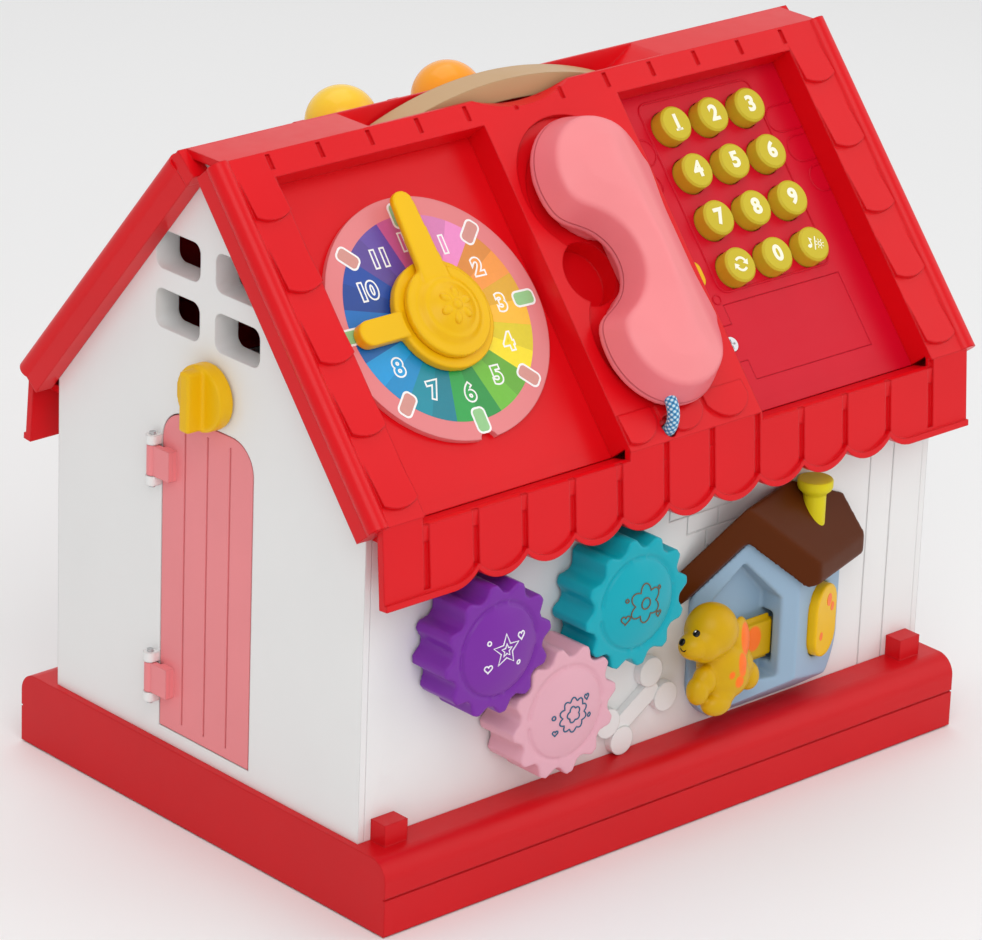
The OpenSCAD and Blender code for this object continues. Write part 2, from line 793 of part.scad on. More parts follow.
function cord_radius(i) = let (left = len(cord_route) - 1 - i) left > 3 ? cord_r : left == 0 ? 0.6 * knot_r : knot_r * (left == 3 ? 0.8 : 1);
function cord_turn(i) = let (a = cord_route[max(i - 1, 0)], b = cord_route[min(i + 1, len(cord_route) - 1)]) atan2(b[1] - a[1], b[0] - a[0]);
function cord_point(i, k) =
    let (p = cord_route[i], t = cord_turn(i), r = cord_radius(i), w = 360 * k / cord_sides)
    [cord_x + r * cos(w), -(p[0] - r * sin(w) * sin(t)), p[1] + r * sin(w) * cos(t)];

module phone_cord() {
    last = len(cord_route) - 1;
    n = cord_sides;
    color("skyblue") on_slope() polyhedron(
        points = [for (i = [0 : last], k = [0 : n - 1]) cord_point(i, k)],
        faces = concat(
            [[for (k = [0 : n - 1]) k]],
            [for (i = [0 : last - 1], k = [0 : n - 1]) [i * n + k, (i + 1) * n + k, i * n + (k + 1) % n]],
            [for (i = [0 : last - 1], k = [0 : n - 1])
                [i * n + (k + 1) % n, (i + 1) * n + k, (i + 1) * n + (k + 1) % n]],
            [[for (k = [n - 1 : -1 : 0]) last * n + k]]));
}

// Straight way for the cord through the eave and the top of the wall.
module cord_channel() {
    on_slope() {
        peg(cord_x, cord_s, -34, 4, cord_r + cord_gap);
        peg(cord_x, cord_s - 2, -1.5, 4, cord_r + 2 * cord_gap);
    }
}

module phone_cradle() {
    cup_wall = 2;
    cup_depth = 14;
    color("firebrick") on_slope() difference() {
        union() {
            slab(clock_win[1] + recess_wall, key_win[0] - recess_wall, recess_top + 3, eave_s - 8.5, -seat_depth - 3.5,
                 -max(seat_depth, skin_t));
            peg(finger_cup[0], finger_cup[1], -cup_depth, -seat_depth - 3, finger_cup_r + cup_wall);
        }
        peg(finger_cup[0], finger_cup[1], cup_wall - cup_depth, cut, finger_cup_r);
    }
}

module grip_cut() {
    translate([cradle_x - 40, -(ear_s + mouth_s) / 2, -20]) cylinder(r = grip_cut_r, h = 60);
}

// A round end of the handset with its upper edge rounded over.
module lobe_top(x, s, r, h0, h1, fillet) {
    translate([x, -s, h0]) rotate_extrude() intersection() {
        union() {
            square([r - fillet, h1 - h0]);
            square([r, h1 - h0 - fillet]);
            translate([r - fillet, h1 - h0 - fillet]) circle(r = fillet);
        }
        square([r + cut, h1 - h0 + cut]);
    }
}

module bar_top(x0, x1, s0, s1, h0, h1, fillet) {
    translate([0, -s0, 0]) rotate([90, 0, 0]) linear_extrude(s1 - s0) intersection() {
        union() {
            translate([x0, h0]) square([x1 - x0, h1 - h0 - fillet]);
            translate([x0 + fillet, h0]) square([x1 - x0 - 2 * fillet, h1 - h0]);
            for (x = [x0 + fillet, x1 - fillet]) translate([x, h1 - fillet]) circle(r = fillet);
        }
        translate([x0 - cut, h0]) square([x1 - x0 + 2 * cut, h1 - h0 + cut]);
    }
}

module handset_upper() {
    hollow = handset_h - shell_t;
    color("lightpink") on_slope() difference() {
        union() {
            lobe_top(ear_x, ear_s, ear_r, seam_h, handset_h, 8);
            lobe_top(mouth_x, mouth_s, mouth_r, seam_h, handset_h, 8);
            bar_top(grip_x[0], grip_x[1], ear_s, mouth_s, seam_h, handset_h - 0.6, 7);
        }
        grip_cut();
        peg(ear_x, ear_s, 0, hollow, ear_r - shell_t - 2);
        peg(mouth_x, mouth_s, 0, hollow, mouth_r - shell_t - 2);
        slab(cradle_x - 3, grip_x[1] - shell_t - 2, ear_s, mouth_s, 0, hollow);
    }
}

module handset_lower() {
    floor_h = lobe_base + 3;
    taper = 3.5;
    color("lightpink") on_slope() {
        difference() {
            union() {
                translate([ear_x, -ear_s, lobe_base]) cylinder(r1 = ear_r - taper, r2 = ear_r, h = 5);
                peg(ear_x, ear_s, lobe_base + 4.5, seam_h, ear_r);
                translate([mouth_x, -mouth_s, lobe_base]) cylinder(r1 = mouth_r - taper, r2 = mouth_r, h = 5);
                peg(mouth_x, mouth_s, lobe_base + 4.5, seam_h, mouth_r);
                slab(grip_x[0], grip_x[1], ear_s, mouth_s, lobe_base + 1, seam_h);
                translate([0, 0, -seat_depth]) linear_extrude(seat_depth + 2) handset_foot(0);
            }
            grip_cut();
            peg(ear_x, ear_s, floor_h, handset_h, ear_r - shell_t);
            peg(mouth_x, mouth_s, floor_h, handset_h, mouth_r - shell_t);
            slab(cradle_x - 3, grip_x[1] - shell_t, ear_s, mouth_s, floor_h + 0.5, handset_h);
            translate([cord_x, 7 - cord_s + 20, 7]) rotate([90, 0, 0]) cylinder(r = cord_r, h = 40);
            for (s = [ear_s, mouth_s]) {
                peg(handset_screw_x, s, -10, handset_h, handset_screw_r);
                peg(handset_screw_x, s, -10, 2.5 - seat_depth, handset_head_r + 0.1);
            }
        }
        for (s = [ear_s, mouth_s]) difference() {
            peg(handset_screw_x, s, floor_h - 2, seam_h, handset_screw_r + 2.5);
            peg(handset_screw_x, s, -10, handset_h, handset_screw_r);
        }
    }
}

module handset_screws() {
    color("silver") on_slope() for (s = [ear_s, mouth_s]) {
        peg(handset_screw_x, s, 0.6 - seat_depth, 2.5 - seat_depth, handset_head_r);
        peg(handset_screw_x, s, 2 - seat_depth, seam_h - 0.5, handset_screw_r);
    }
}

// Keypad

key_x = (key_win[0] + key_win[1]) / 2;
key_s = recess_top + 15.9;
key_gap = 0.35;
flange_r = key_r + 1.45;
flange_t = 2.6;
key_top = panel_face + key_proud;
dome_t = 1.2;
mat_t = 2;
mat_top = panel_under - flange_t - key_travel - dome_t - 0.3;
mat_half = key_pitch + 12.5;
mat_s = [key_s - 11.9, key_s + 3 * key_row + 8.8];
board_t = 1.6;
post_r = 2;
post_x = mat_half + post_r + 0.3;
posts_at = [[-post_x, mat_s[0] + 2], [post_x, mat_s[0] + 2], [-post_x, mat_s[0] + 56], [post_x, mat_s[1] - 2]];
cell_door_s = mat_s[1] + 3.4;
tab = [14, 15];
tab_x = key_x - 40.5;
tab_s = cell_door_s + 8;
door_fit = 0.1;
door_screw = [key_x - 36, tab_s + tab[1] / 2];
door_screw_r = 1.5;
door_head_r = 3;
switch_x = key_win[0] + 3;
switch_s = mat_s[1] - 15.8;
cell_r = 7.1;
cell_l = 49.2;
cell_h = panel_under - cell_r - 1.5;
cells_s = [cell_door_s + cell_door_h / 2 - cell_r - 0.5, cell_door_s + cell_door_h / 2 + cell_r + 0.5];
box_wall = 2.4;
box_floor = 2;

function key_at(col, row) = [key_x + (col - 1) * key_pitch, key_s + row * key_row];

// Battery door with its screw tab, grown for the hole that it lies in.
module cell_door_outline(grow) {
    translate([key_x - cell_door_w / 2 - grow, -cell_door_s - cell_door_h - grow])
        square([cell_door_w + 2 * grow, cell_door_h + 2 * grow]);
    translate([tab_x - grow, -tab_s - tab[1] - grow]) square([tab[0] + grow, tab[1] + 2 * grow]);
}

// Round-ended outline of the switch, grown for its slot and lengthened by its travel.
module switch_outline(grow, travel) {
    r = switch_w / 2;
    last = switch_s + switch_l + travel - r;
    translate([switch_x - grow, -last]) square([switch_w + 2 * grow, last - switch_s - r]);
    for (s = [switch_s + r, last]) translate([switch_x + r, -s]) circle(r = r + grow);
}

module keypad_panel() {
    shelf = key_x - cell_door_w / 2;
    color("crimson") on_slope() {
        difference() {
            recess_panel(key_win);
            for (c = [0 : 2], r = [0 : 3]) {
                p = key_at(c, r);
                peg(p[0], p[1], panel_under - cut, cut, key_r + key_gap);
            }
            translate([0, 0, panel_under - cut]) linear_extrude(panel_t + 2 * cut) intersection() {
                cell_door_outline(door_fit);
                translate([shelf - door_fit, -2 * eave_s]) square([house_w, 2 * eave_s]);
            }
            translate([0, 0, panel_face - cell_door_t]) linear_extrude(cell_door_t + cut) cell_door_outline(door_fit);
            peg(door_screw[0], door_screw[1], panel_under - cut, cut, door_screw_r);
            translate([0, 0, panel_under - cut]) linear_extrude(panel_t + 2 * cut) switch_outline(move_gap, switch_travel);
        }
    }
}

module key(col, row) {
    p = key_at(col, row);
    edge = 0.8;
    color("khaki") on_slope() {
        peg(p[0], p[1], panel_under - cut, key_top - edge, key_r);
        translate([p[0], -p[1], key_top - edge]) cylinder(r1 = key_r, r2 = key_r - edge, h = edge);
        peg(p[0], p[1], panel_under - flange_t, panel_under - 0.05, flange_r);
    }
}

module key_1() { key(0, 0); }
module key_2() { key(1, 0); }
module key_3() { key(2, 0); }
module key_4() { key(0, 1); }
module key_5() { key(1, 1); }
module key_6() { key(2, 1); }
module key_7() { key(0, 2); }
module key_8() { key(1, 2); }
module key_9() { key(2, 2); }
module key_repeat() { key(0, 3); }
module key_0() { key(1, 3); }
module key_mode() { key(2, 3); }

module rubber_mat() {
    color("dimgray") on_slope() {
        slab(key_x - mat_half, key_x + mat_half, mat_s[0], mat_s[1], mat_top - mat_t, mat_top);
        for (c = [0 : 2], r = [0 : 3]) {
            p = key_at(c, r);
            translate([p[0], -p[1], mat_top]) cylinder(r1 = 5.5, r2 = 3.5, h = dome_t);
        }
    }
}

module circuit_board() {
    half = post_x + post_r;
    color("green") on_slope() {
        slab(key_x - half, key_x + half, mat_s[0] - 2, mat_s[1] + 0.5, mat_top - mat_t - board_t, mat_top - mat_t);
        for (p = posts_at) peg(key_x + p[0], p[1], mat_top - mat_t - cut, panel_under, post_r);
    }
}

module switch_knob() {
    flange = 1.4;
    top = panel_face + 2.6;
    color("gold") on_slope() {
        translate([0, 0, panel_under - cut]) linear_extrude(top - panel_under + cut) switch_outline(0, 0);
        slab(switch_x - flange, switch_x + switch_w + flange, switch_s - 1.2, switch_s + switch_l + 1.2,
             panel_under - 2, panel_under - 0.05);
    }
}

module battery_door() {
    color("crimson") on_slope() difference() {
        translate([0, 0, panel_face - cell_door_t]) linear_extrude(cell_door_t) cell_door_outline(0);
        peg(door_screw[0], door_screw[1], panel_under, cut, door_screw_r);
        peg(door_screw[0], door_screw[1], panel_face - 0.9, cut, door_head_r + 0.1);
    }
}

module battery_door_screw() {
    slot = [4, 0.8];
    x = door_screw[0];
    s = door_screw[1];
    color("silver") on_slope() difference() {
        union() {
            peg(x, s, panel_face - 0.9, panel_face + 0.3, door_head_r);
            peg(x, s, panel_under - 5, panel_face - 0.8, door_screw_r - 0.05);
        }
        slab(x - slot[0] / 2, x + slot[0] / 2, s - slot[1] / 2, s + slot[1] / 2, panel_face - 0.3, cut);
        slab(x - slot[1] / 2, x + slot[1] / 2, s - slot[0] / 2, s + slot[0] / 2, panel_face - 0.3, cut);
    }
}

cell_room = [key_x - cell_door_w / 2 - 0.2, key_x + cell_door_w / 2 + 0.2];
cell_room_s = [cell_door_s + 0.2, cell_door_s + cell_door_h - 0.2];
cell_room_h = cell_h - cell_r - 0.4;

module battery_box() {
    color("dimgray") on_slope() difference() {
        slab(cell_room[0] - box_wall, cell_room[1] + box_wall, cell_room_s[0] - box_wall, cell_room_s[1] + box_wall,
             cell_room_h - box_floor, panel_under);
        slab(cell_room[0], cell_room[1], cell_room_s[0], cell_room_s[1], cell_room_h, cut);
    }
}

module batteries() {
    nub = [1.4, 2.7];
    color("steelblue") on_slope() for (s = cells_s) {
        rod_slope(key_x - cell_l / 2, key_x + cell_l / 2, s, cell_h, cell_r);
        rod_slope(key_x + cell_l / 2 - 0.6, key_x + cell_l / 2 + nub[0] - 0.6, s, cell_h, nub[1]);
    }
}

module battery_contacts() {
    plate = 0.5;
    nub = 0.8;
    color("silver") on_slope() {
        for (x = [cell_room[0], cell_room[1] - plate])
            slab(x, x + plate, cell_room_s[0] + 1.4, cell_room_s[1] - 1.4, cell_h - 6.4, cell_h + 6.6);
        for (s = cells_s) {
            rod_slope(cell_room[0], key_x - cell_l / 2, s, cell_h, 4);
            rod_slope(key_x + cell_l / 2 + nub, cell_room[1], s, cell_h, 2);
        }
    }
}

speaker_r = 26;
speaker_pitch = 8;
speaker_z = base_h + 58;

module speaker() {
    depth = 12.6;
    back = half_d - wall_t;
    color("dimgray") {
        rod_y(0, back - depth - 8, back - depth + 0.1, speaker_z, speaker_r / 2);
        translate([0, back, speaker_z]) rotate([90, 0, 0]) difference() {
            cylinder(r1 = speaker_r, r2 = speaker_r / 2 + 1, h = depth);
            translate([0, 0, -cut]) cylinder(r1 = speaker_r - 1, r2 = speaker_r / 2 - 2, h = depth - 0.6);
        }
    }
}

// Gears

gear_mid = [-64.2, base_h + 36.5];
gear_turn = 7;
gear_step = 2 * gear_r * sin(45);
gear_centres = [[gear_mid[0] - gear_step, gear_mid[1] + gear_step], gear_mid,
                [gear_mid[0] + gear_step, gear_mid[1] + gear_step]];
gear_back = front - 1;
gear_front = gear_back - gear_t;
gear_web = 4;

// Teeth with straight flanks, narrower at the tip.
module gear_outline(turn) {
    root = gear_r - tooth_in;
    tip = gear_r + tooth_out;
    half_gap = 180 / gear_teeth;
    root_half = 0.34 * root * sin(half_gap) * 2.25;
    circle(r = root);
    for (k = [0 : gear_teeth - 1]) rotate(turn + k * 360 / gear_teeth)
        polygon([[root - 2, -root_half], [root - 0.3, -root_half], [tip - 0.4, -0.43 * root_half], [tip, -0.32 * root_half],
                 [tip, 0.32 * root_half], [tip - 0.4, 0.43 * root_half], [root - 0.3, root_half], [root - 2, root_half]]);
}

// A gear with a domed centre inside a shallow ring groove.
module gear(centre, turn) {
    sphere_r = (dome_r * dome_r + dome_rise * dome_rise) / (2 * dome_rise);
    groove = 1;
    translate([centre[0], 0, centre[1]]) difference() {
        union() {
            along_y(gear_front, gear_back) gear_outline(turn);
            intersection() {
                translate([0, gear_front - dome_rise + sphere_r, 0]) sphere(r = sphere_r);
                rod_y(0, gear_front - 2 * dome_rise, gear_front + 1.2, 0, dome_r);
            }
        }
        difference() {
            rod_y(0, gear_front - cut, gear_front + groove, 0, dome_r + 0.9);
            rod_y(0, gear_front - 2 * cut, gear_front + 2 * groove, 0, dome_r - 0.4);
        }
        rod_y(0, gear_front + gear_web, gear_back + cut, 0, gear_pin_r + run_gap);
    }
}

module gear_purple() { color("purple") gear(gear_centres[0], gear_turn); }
module gear_pink() { color("pink") gear(gear_centres[1], 180 / gear_teeth - gear_turn); }
module gear_teal() { color("darkturquoise") gear(gear_centres[2], gear_turn); }

module gear_pins() {
    flange_t = 2.5;
    color("whitesmoke") for (c = gear_centres) {
        rod_y(c[0], gear_front + gear_web + 0.5, front, c[1], gear_pin_r);
        rod_y(c[0], front - 0.5, front + wall_t + flange_t, c[1], gear_pin_r - 1);
        rod_y(c[0], front + wall_t, front + wall_t + flange_t, c[1], gear_pin_r + 1);
    }
}

// Dog house

kennel = [[17, front - 2.5], [60, front - kennel_out], [96, front - 4.5]];
kennel_apex = base_h + kennel_h;
ridge_turn = 18;
ridge_at = [38.5, front - 10.5];
roof_fall = 1.38;
face_turn = atan2(kennel[1][1] - kennel[0][1], kennel[1][0] - kennel[0][0]);
side_turn = atan2(kennel[2][1] - kennel[1][1], kennel[2][0] - kennel[1][0]);
recess_y = front - 4;
dog_slot = [base_h + 21.5, base_h + 42.5];

// A profile drawn across the dog house ridge, run along it from x0 to x1.
module along_ridge(x0, x1) {
    translate([ridge_at[0], ridge_at[1], 0]) rotate([0, 0, ridge_turn]) along_x(x0, x1) children();
}

button_x = 79;
button_y = kennel[1][1] + (button_x - kennel[1][0]) * tan(side_turn);
button_deep = 6.8;
button_proud = 3.4;

module button_frame() {
    translate([button_x, button_y, base_h + 33]) rotate([90, 0, side_turn]) children();
}

module button_outline(grow) {
    r = button_w / 2;
    straight = button_h / 2 - r;
    translate([-r - grow, -straight]) square([button_w + 2 * grow, 2 * straight]);
    for (y = [-straight, straight]) translate([0, y]) circle(r = r + grow);
}

module doghouse_body() {
    reach = 60;
    color("lightsteelblue") difference() {
        linear_extrude(kennel_apex + 20)
            polygon([[kennel[0][0], front], kennel[0], kennel[1], kennel[2], [kennel[2][0], front]]);
        along_ridge(-80, 90) polygon([[-reach, kennel_apex - roof_fall * reach], [0, kennel_apex],
                                      [reach, kennel_apex - roof_fall * reach], [reach, 2 * kennel_apex],
                                      [-reach, 2 * kennel_apex]]);
        translate([0, front, base_h + 0.6]) rotate([-39, 0, 0]) box3(0, 120, -reach, 80, -reach, 0);
        along_y(front - reach, recess_y) translate([0, base_h])
            polygon([[24, 17], [24, 51], [37.5, 66.5], [53, 50], [53, 17]]);
        box3(50, 57 + dog_travel, recess_y - 6.2, recess_y, dog_slot[0], dog_slot[1]);
        button_frame() translate([0, 0, -button_deep - 0.6]) linear_extrude(20) button_outline(move_gap);
    }
}

module doghouse_roof() {
    half = 20;
    top = kennel_apex + kennel_roof_t;
    low = top - roof_fall * half;
    lip = 8.9;
    color("saddlebrown") difference() {
        along_ridge(-45, 61) polygon([[0, top], [half, low], [half, low - lip], [half - 3.5, kennel_apex - roof_fall * (half - 3.5)],
                                      [0, kennel_apex], [3.5 - half, kennel_apex - roof_fall * (half - 3.5)],
                                      [-half, low - lip], [-half, low]]);
        translate([kennel[0][0], kennel[0][1], 0]) rotate([0, 0, face_turn]) box3(-60, 90, -60, -3, 0, 2 * top);
        box3(-60, 160, front, 0, 0, 2 * top);
    }
}

module doghouse_chimney() {
    top = kennel_apex + kennel_roof_t;
    half = 20;
    at = [72, front - 7.4];
    color("yellowgreen") difference() {
        union() {
            translate([at[0], at[1], top - 21]) cylinder(r = 4.6, h = 17);
            translate([at[0], at[1], top - 7]) cylinder(r1 = 5, r2 = 7.3, h = 10.5);
        }
        along_ridge(-45, 61) polygon([[0, top], [half, top - roof_fall * half], [half, 0], [-half, 0],
                                      [-half, top - roof_fall * half]]);
        box3(at[0] - 20, at[0] + 20, front, 0, 0, 2 * top);
    }
}

// A sitting puppy in profile. Each row is a round of its body: x, distance before the wall, height over the base, radius.
puppy = [[13, 17, 47.5, 11], [3, 18, 44.2, 6.6], [20, 17.5, 30.5, 11], [6.2, 19, 24.5, 5.8], [15.5, 20, 18.8, 6],
         [33.8, 15.5, 23.2, 5.4]];
puppy_ear = [27, 21, 42];
ear_flap_r = 7;
ear_flap_t = 3.6;
runner_x = [25, 51.6];
runner_y = [recess_y - 6, recess_y - 0.4];
runner_z = [dog_slot[0] + 1, dog_slot[1] - 1];
runner_boss = [20, 33];

// The puppy is cut flat behind, where it is fixed to its runner.
module dog() {
    color("goldenrod") difference() {
        union() {
            for (p = puppy) translate([p[0], front - p[1], base_h + p[2]]) sphere(r = p[3]);
            translate([puppy_ear[0], front - puppy_ear[1], base_h + puppy_ear[2]]) rotate([0, 90, 70])
                cylinder(r = ear_flap_r, h = ear_flap_t, center = true);
            box3(runner_boss[0], runner_boss[1], front - 16, recess_y, runner_z[0] + 3.5, runner_z[0] + 13.5);
        }
        box3(-house_w / 2, house_w / 2, runner_y[0], house_d, 0, ridge_z);
    }
}

// Tongue that carries the puppy and slides in the dog house.
module dog_runner() {
    color("goldenrod") difference() {
        box3(runner_x[0], runner_x[1], runner_y[0], runner_y[1], runner_z[0], runner_z[1]);
        translate([runner_x[0] - 3, runner_y[0] - cut, runner_z[1]]) rotate([0, 30, 0]) box3(-12, 2, -2, 12, -30, 30);
    }
}

module dog_button() {
    color("gold") button_frame() translate([0, 0, -button_deep])
        linear_extrude(button_deep + button_proud) button_outline(0);
}

// Left gable: door and latch

plank_groove = 0.8;

module side_door() {
    color("lightcoral") {
        difference() {
            along_x(-half_w, door_t - half_w) door_outline(0);
            for (k = [-1 : 1]) box3(-half_w - cut, plank_groove - half_w, k * door_w / 4 - plank_groove / 2,
                                    k * door_w / 4 + plank_groove / 2, door_low + 4, door_top - 4);
        }
        for (z = hinge_z) difference() {
            union() {
                translate([hinge[0], hinge[1], z]) cylinder(r = knuckle_r, h = knuckle_h);
                box3(hinge[0] - 1.2, hinge[0] + 1.2, hinge[1] - 11, hinge[1], z, z + knuckle_h);
                box3(hinge[0] + 0.6, cut - half_w, hinge[1] - 11.1, door_w / 2 - 2, z, z + knuckle_h);
            }
            translate([hinge[0], hinge[1], z - cut]) cylinder(r = hinge_pin_r + run_gap, h = knuckle_h + 2 * cut);
        }
    }
}

module door_hinge_pins() {
    over = lug_h + lug_gap + 1;
    color("silver") for (z = hinge_z) translate([hinge[0], hinge[1], z - over])
        cylinder(r = hinge_pin_r, h = knuckle_h + 2 * over);
}

latch_y = -2.5;
latch_z = base_h + 148.5;
latch_shaft_r = 3;
cam_hook = 7;
cam_x = [0.4 - inner_half, 3.4 - inner_half];

module latch_knob() {
    blade = 2.7;
    color("gold") {
        rod_x(-half_w - 7, -half_w - 0.6, latch_y, latch_z, latch_r);
        intersection() {
            rod_x(-half_w - 15, -half_w - 3, latch_y, latch_z, latch_r - 1);
            box3(-half_w - 14, -half_w - 3, latch_y - blade, latch_y + blade, latch_z - latch_r, latch_z + latch_r);
        }
        rod_x(-half_w - 3, cam_x[1] + 2.2, latch_y, latch_z, latch_shaft_r);
    }
}

module latch_cam() {
    half = 4;
    color("dimgray") difference() {
        union() {
            rod_x(cam_x[0], cam_x[1], latch_y, latch_z, latch_shaft_r + 4);
            box3(cam_x[0], cam_x[1], latch_y - half, latch_y + half, door_top - cam_hook, latch_z);
        }
        rod_x(cam_x[0] - cut, cam_x[1] + cut, latch_y, latch_z, latch_shaft_r);
    }
}

// Rear slope balls

module ball(x) {
    on_back_slope() translate([x, -ball_s, ball_out]) rotate([0, 90, 0]) rotate_extrude() intersection() {
        circle(r = ball_r);
        translate([axle_r + run_gap, -ball_r - cut]) square([ball_r + cut, 2 * ball_r + 2 * cut]);
    }
}

module ball_orange() { color("orange") ball(balls_x[1]); }
module ball_yellow() { color("gold") ball(balls_x[0]); }

module ball_axle() {
    color("silver") on_back_slope()
        rod_slope(brackets_x[0] - bracket_w / 2 - 1, brackets_x[2] + bracket_w / 2 + 1, ball_s, ball_out, axle_r);
}

base_tray();
base_plate();
base_screws();
front_wall();
back_wall();
left_wall();
right_wall();
roof_front();
roof_back();
handle();
clock_panel();
clock_dial();
clock_spindle();
hour_hand();
minute_hand();
phone_cradle();
handset_lower();
handset_upper();
handset_screws();
phone_cord();
keypad_panel();
key_1();
key_2();
key_3();
key_4();
key_5();
key_6();
key_7();
key_8();
key_9();
key_repeat();
key_0();
key_mode();
rubber_mat();
circuit_board();
switch_knob();
battery_door();
battery_door_screw();
battery_box();
batteries();
battery_contacts();
speaker();
gear_purple();
gear_pink();
gear_teal();
gear_pins();
doghouse_body();
doghouse_roof();
doghouse_chimney();
dog();
dog_runner();
dog_button();
side_door();
door_hinge_pins();
latch_knob();
latch_cam();
ball_orange();
ball_yellow();
ball_axle();
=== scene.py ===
import math

import bmesh
import bpy
from mathutils import Matrix, Vector
from mathutils.bvhtree import BVHTree


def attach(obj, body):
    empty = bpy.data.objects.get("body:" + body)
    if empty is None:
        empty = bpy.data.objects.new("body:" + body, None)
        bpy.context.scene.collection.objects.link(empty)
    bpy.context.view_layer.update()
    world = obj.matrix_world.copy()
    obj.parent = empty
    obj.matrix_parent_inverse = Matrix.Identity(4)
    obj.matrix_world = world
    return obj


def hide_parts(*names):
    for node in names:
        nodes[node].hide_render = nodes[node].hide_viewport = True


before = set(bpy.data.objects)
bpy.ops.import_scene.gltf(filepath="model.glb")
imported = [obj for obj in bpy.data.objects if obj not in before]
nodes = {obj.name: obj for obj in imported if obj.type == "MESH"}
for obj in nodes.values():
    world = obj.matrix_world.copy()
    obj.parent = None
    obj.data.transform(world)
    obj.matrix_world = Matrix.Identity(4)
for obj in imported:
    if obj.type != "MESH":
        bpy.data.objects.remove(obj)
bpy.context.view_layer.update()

scene = bpy.context.scene
scene.view_settings.view_transform = "Standard"

# Places that repeat the source's values, in millimetres and degrees
MM = 0.001
SLOPE = math.radians(50.3)
RIDGE_HALF = 10
RIDGE_Z = 270.58
PANEL_FACE = -11.5
DIAL_FACE = -9.0
CLOCK = (-80.5, 73.8)
KEY_X = 84.5
KEY_S = 25.9
KEY_PITCH = 20
KEY_ROW = 20.1
KEY_TOP = -5.0
GEARS = {"purple": (-98.85, 101.15), "pink": (-64.2, 66.5), "teal": (-29.55, 101.15)}
GEAR_LOOKS = {"purple": "purple", "pink": "gear_pink", "teal": "teal"}
KEY_NAMES = ["key_%d" % n for n in range(1, 10)] + ["key_repeat", "key_0", "key_mode"]


def on_slope(x, s, h):
    """Point on the front slope: s down from the ridge edge, h out of the roof face."""
    y = -RIDGE_HALF - s * math.cos(SLOPE) - h * math.sin(SLOPE)
    z = RIDGE_Z - s * math.sin(SLOPE) + h * math.cos(SLOPE)
    return Vector((x, y, z)) * MM


def slope_frame(x, s, h, turn=0):
    """Frame on the slope in metres: x along the ridge, y up the slope, z out of the roof."""
    spin = Matrix.Rotation(SLOPE, 4, "X") @ Matrix.Rotation(math.radians(turn), 4, "Z")
    return Matrix.Translation(on_slope(x, s, h)) @ spin


# Colour and material helpers

def srgb(r, g, b):
    """Linear colour of an 8-bit screen colour."""
    def linear(v):
        v = v / 255
        return v / 12.92 if v <= 0.04045 else ((v + 0.055) / 1.055) ** 2.4
    return (linear(r), linear(g), linear(b), 1)


def scaled(colour, factor):
    return tuple(min(1, c * factor) for c in colour[:3]) + (1,)


class Graph:
    """Short calls to add and join the nodes of one material."""

    def __init__(self, name):
        self.material = bpy.data.materials.new(name)
        self.material.use_nodes = True
        self.tree = self.material.node_tree
        self.shader = self.tree.nodes["Principled BSDF"]

    def node(self, kind, values=None, **settings):
        made = self.tree.nodes.new(kind)
        for key, value in settings.items():
            setattr(made, key, value)
        for key, value in (values or {}).items():
            if isinstance(value, bpy.types.NodeSocket):
                self.tree.links.new(value, made.inputs[key])
            else:
                made.inputs[key].default_value = value
        return made

    def into(self, socket, value):
        if isinstance(value, bpy.types.NodeSocket):
            self.tree.links.new(value, self.shader.inputs[socket])
        else:
            self.shader.inputs[socket].default_value = value

    def math(self, operation, a, b=0.0):
        return self.node("ShaderNodeMath", {0: a, 1: b}, operation=operation).outputs[0]

    def mix(self, factor, a, b):
        made = self.node("ShaderNodeMix", {"Factor": factor, 6: a, 7: b}, data_type="RGBA")
        return made.outputs[2]

    def noise(self, scale, detail=2.0, coords=None):
        source = coords or self.node("ShaderNodeTexCoord").outputs["Object"]
        made = self.node("ShaderNodeTexNoise", {"Vector": source, "Scale": scale, "Detail": detail})
        return made.outputs["Fac"]

    def ramp(self, value, low, high, out_low=0.0, out_high=1.0):
        made = self.node("ShaderNodeMapRange", {0: value, 1: low, 2: high, 3: out_low, 4: out_high})
        return made.outputs[0]

    def attribute(self, name):
        return self.node("ShaderNodeAttribute", attribute_name=name).outputs["Fac"]


def moulded(graph, colour, rough, grain, edge, variation=0.025, relief=None, coat=0.0, gloss=0.22):
    """Moulded plastic: slight flow marks in colour and gloss, a fine skin and rounded arrises."""
    flow = graph.ramp(graph.noise(22), 0.3, 0.7, 1 - variation, 1 + variation)
    shade = graph.node("ShaderNodeHueSaturation", {"Color": colour, "Value": flow}).outputs[0]
    graph.into("Base Color", shade)
    graph.into("Roughness", graph.ramp(graph.noise(160, 2), 0.3, 0.7, rough - 0.02, rough + 0.03))
    graph.into("Specular IOR Level", gloss)
    rounded = graph.node("ShaderNodeBevel", {"Radius": edge * MM}, samples=4).outputs[0]
    skin = graph.node("ShaderNodeBump", {"Height": graph.noise(2600, 1), "Normal": rounded,
                                         "Strength": grain, "Distance": 0.0002})
    normal = skin.outputs[0]
    if relief is not None:
        normal = graph.node("ShaderNodeBump", {"Height": relief, "Normal": normal, "Strength": 0.8,
                                               "Distance": 0.0006}).outputs[0]
    graph.into("Normal", normal)
    graph.into("Coat Weight", coat)
    return graph.material


def plastic(name, colour, rough=0.3, grain=0.06, edge=0.7, variation=0.025, coat=0.0, gloss=0.22):
    return moulded(Graph(name), colour, rough, grain, edge, variation, coat=coat, gloss=gloss)


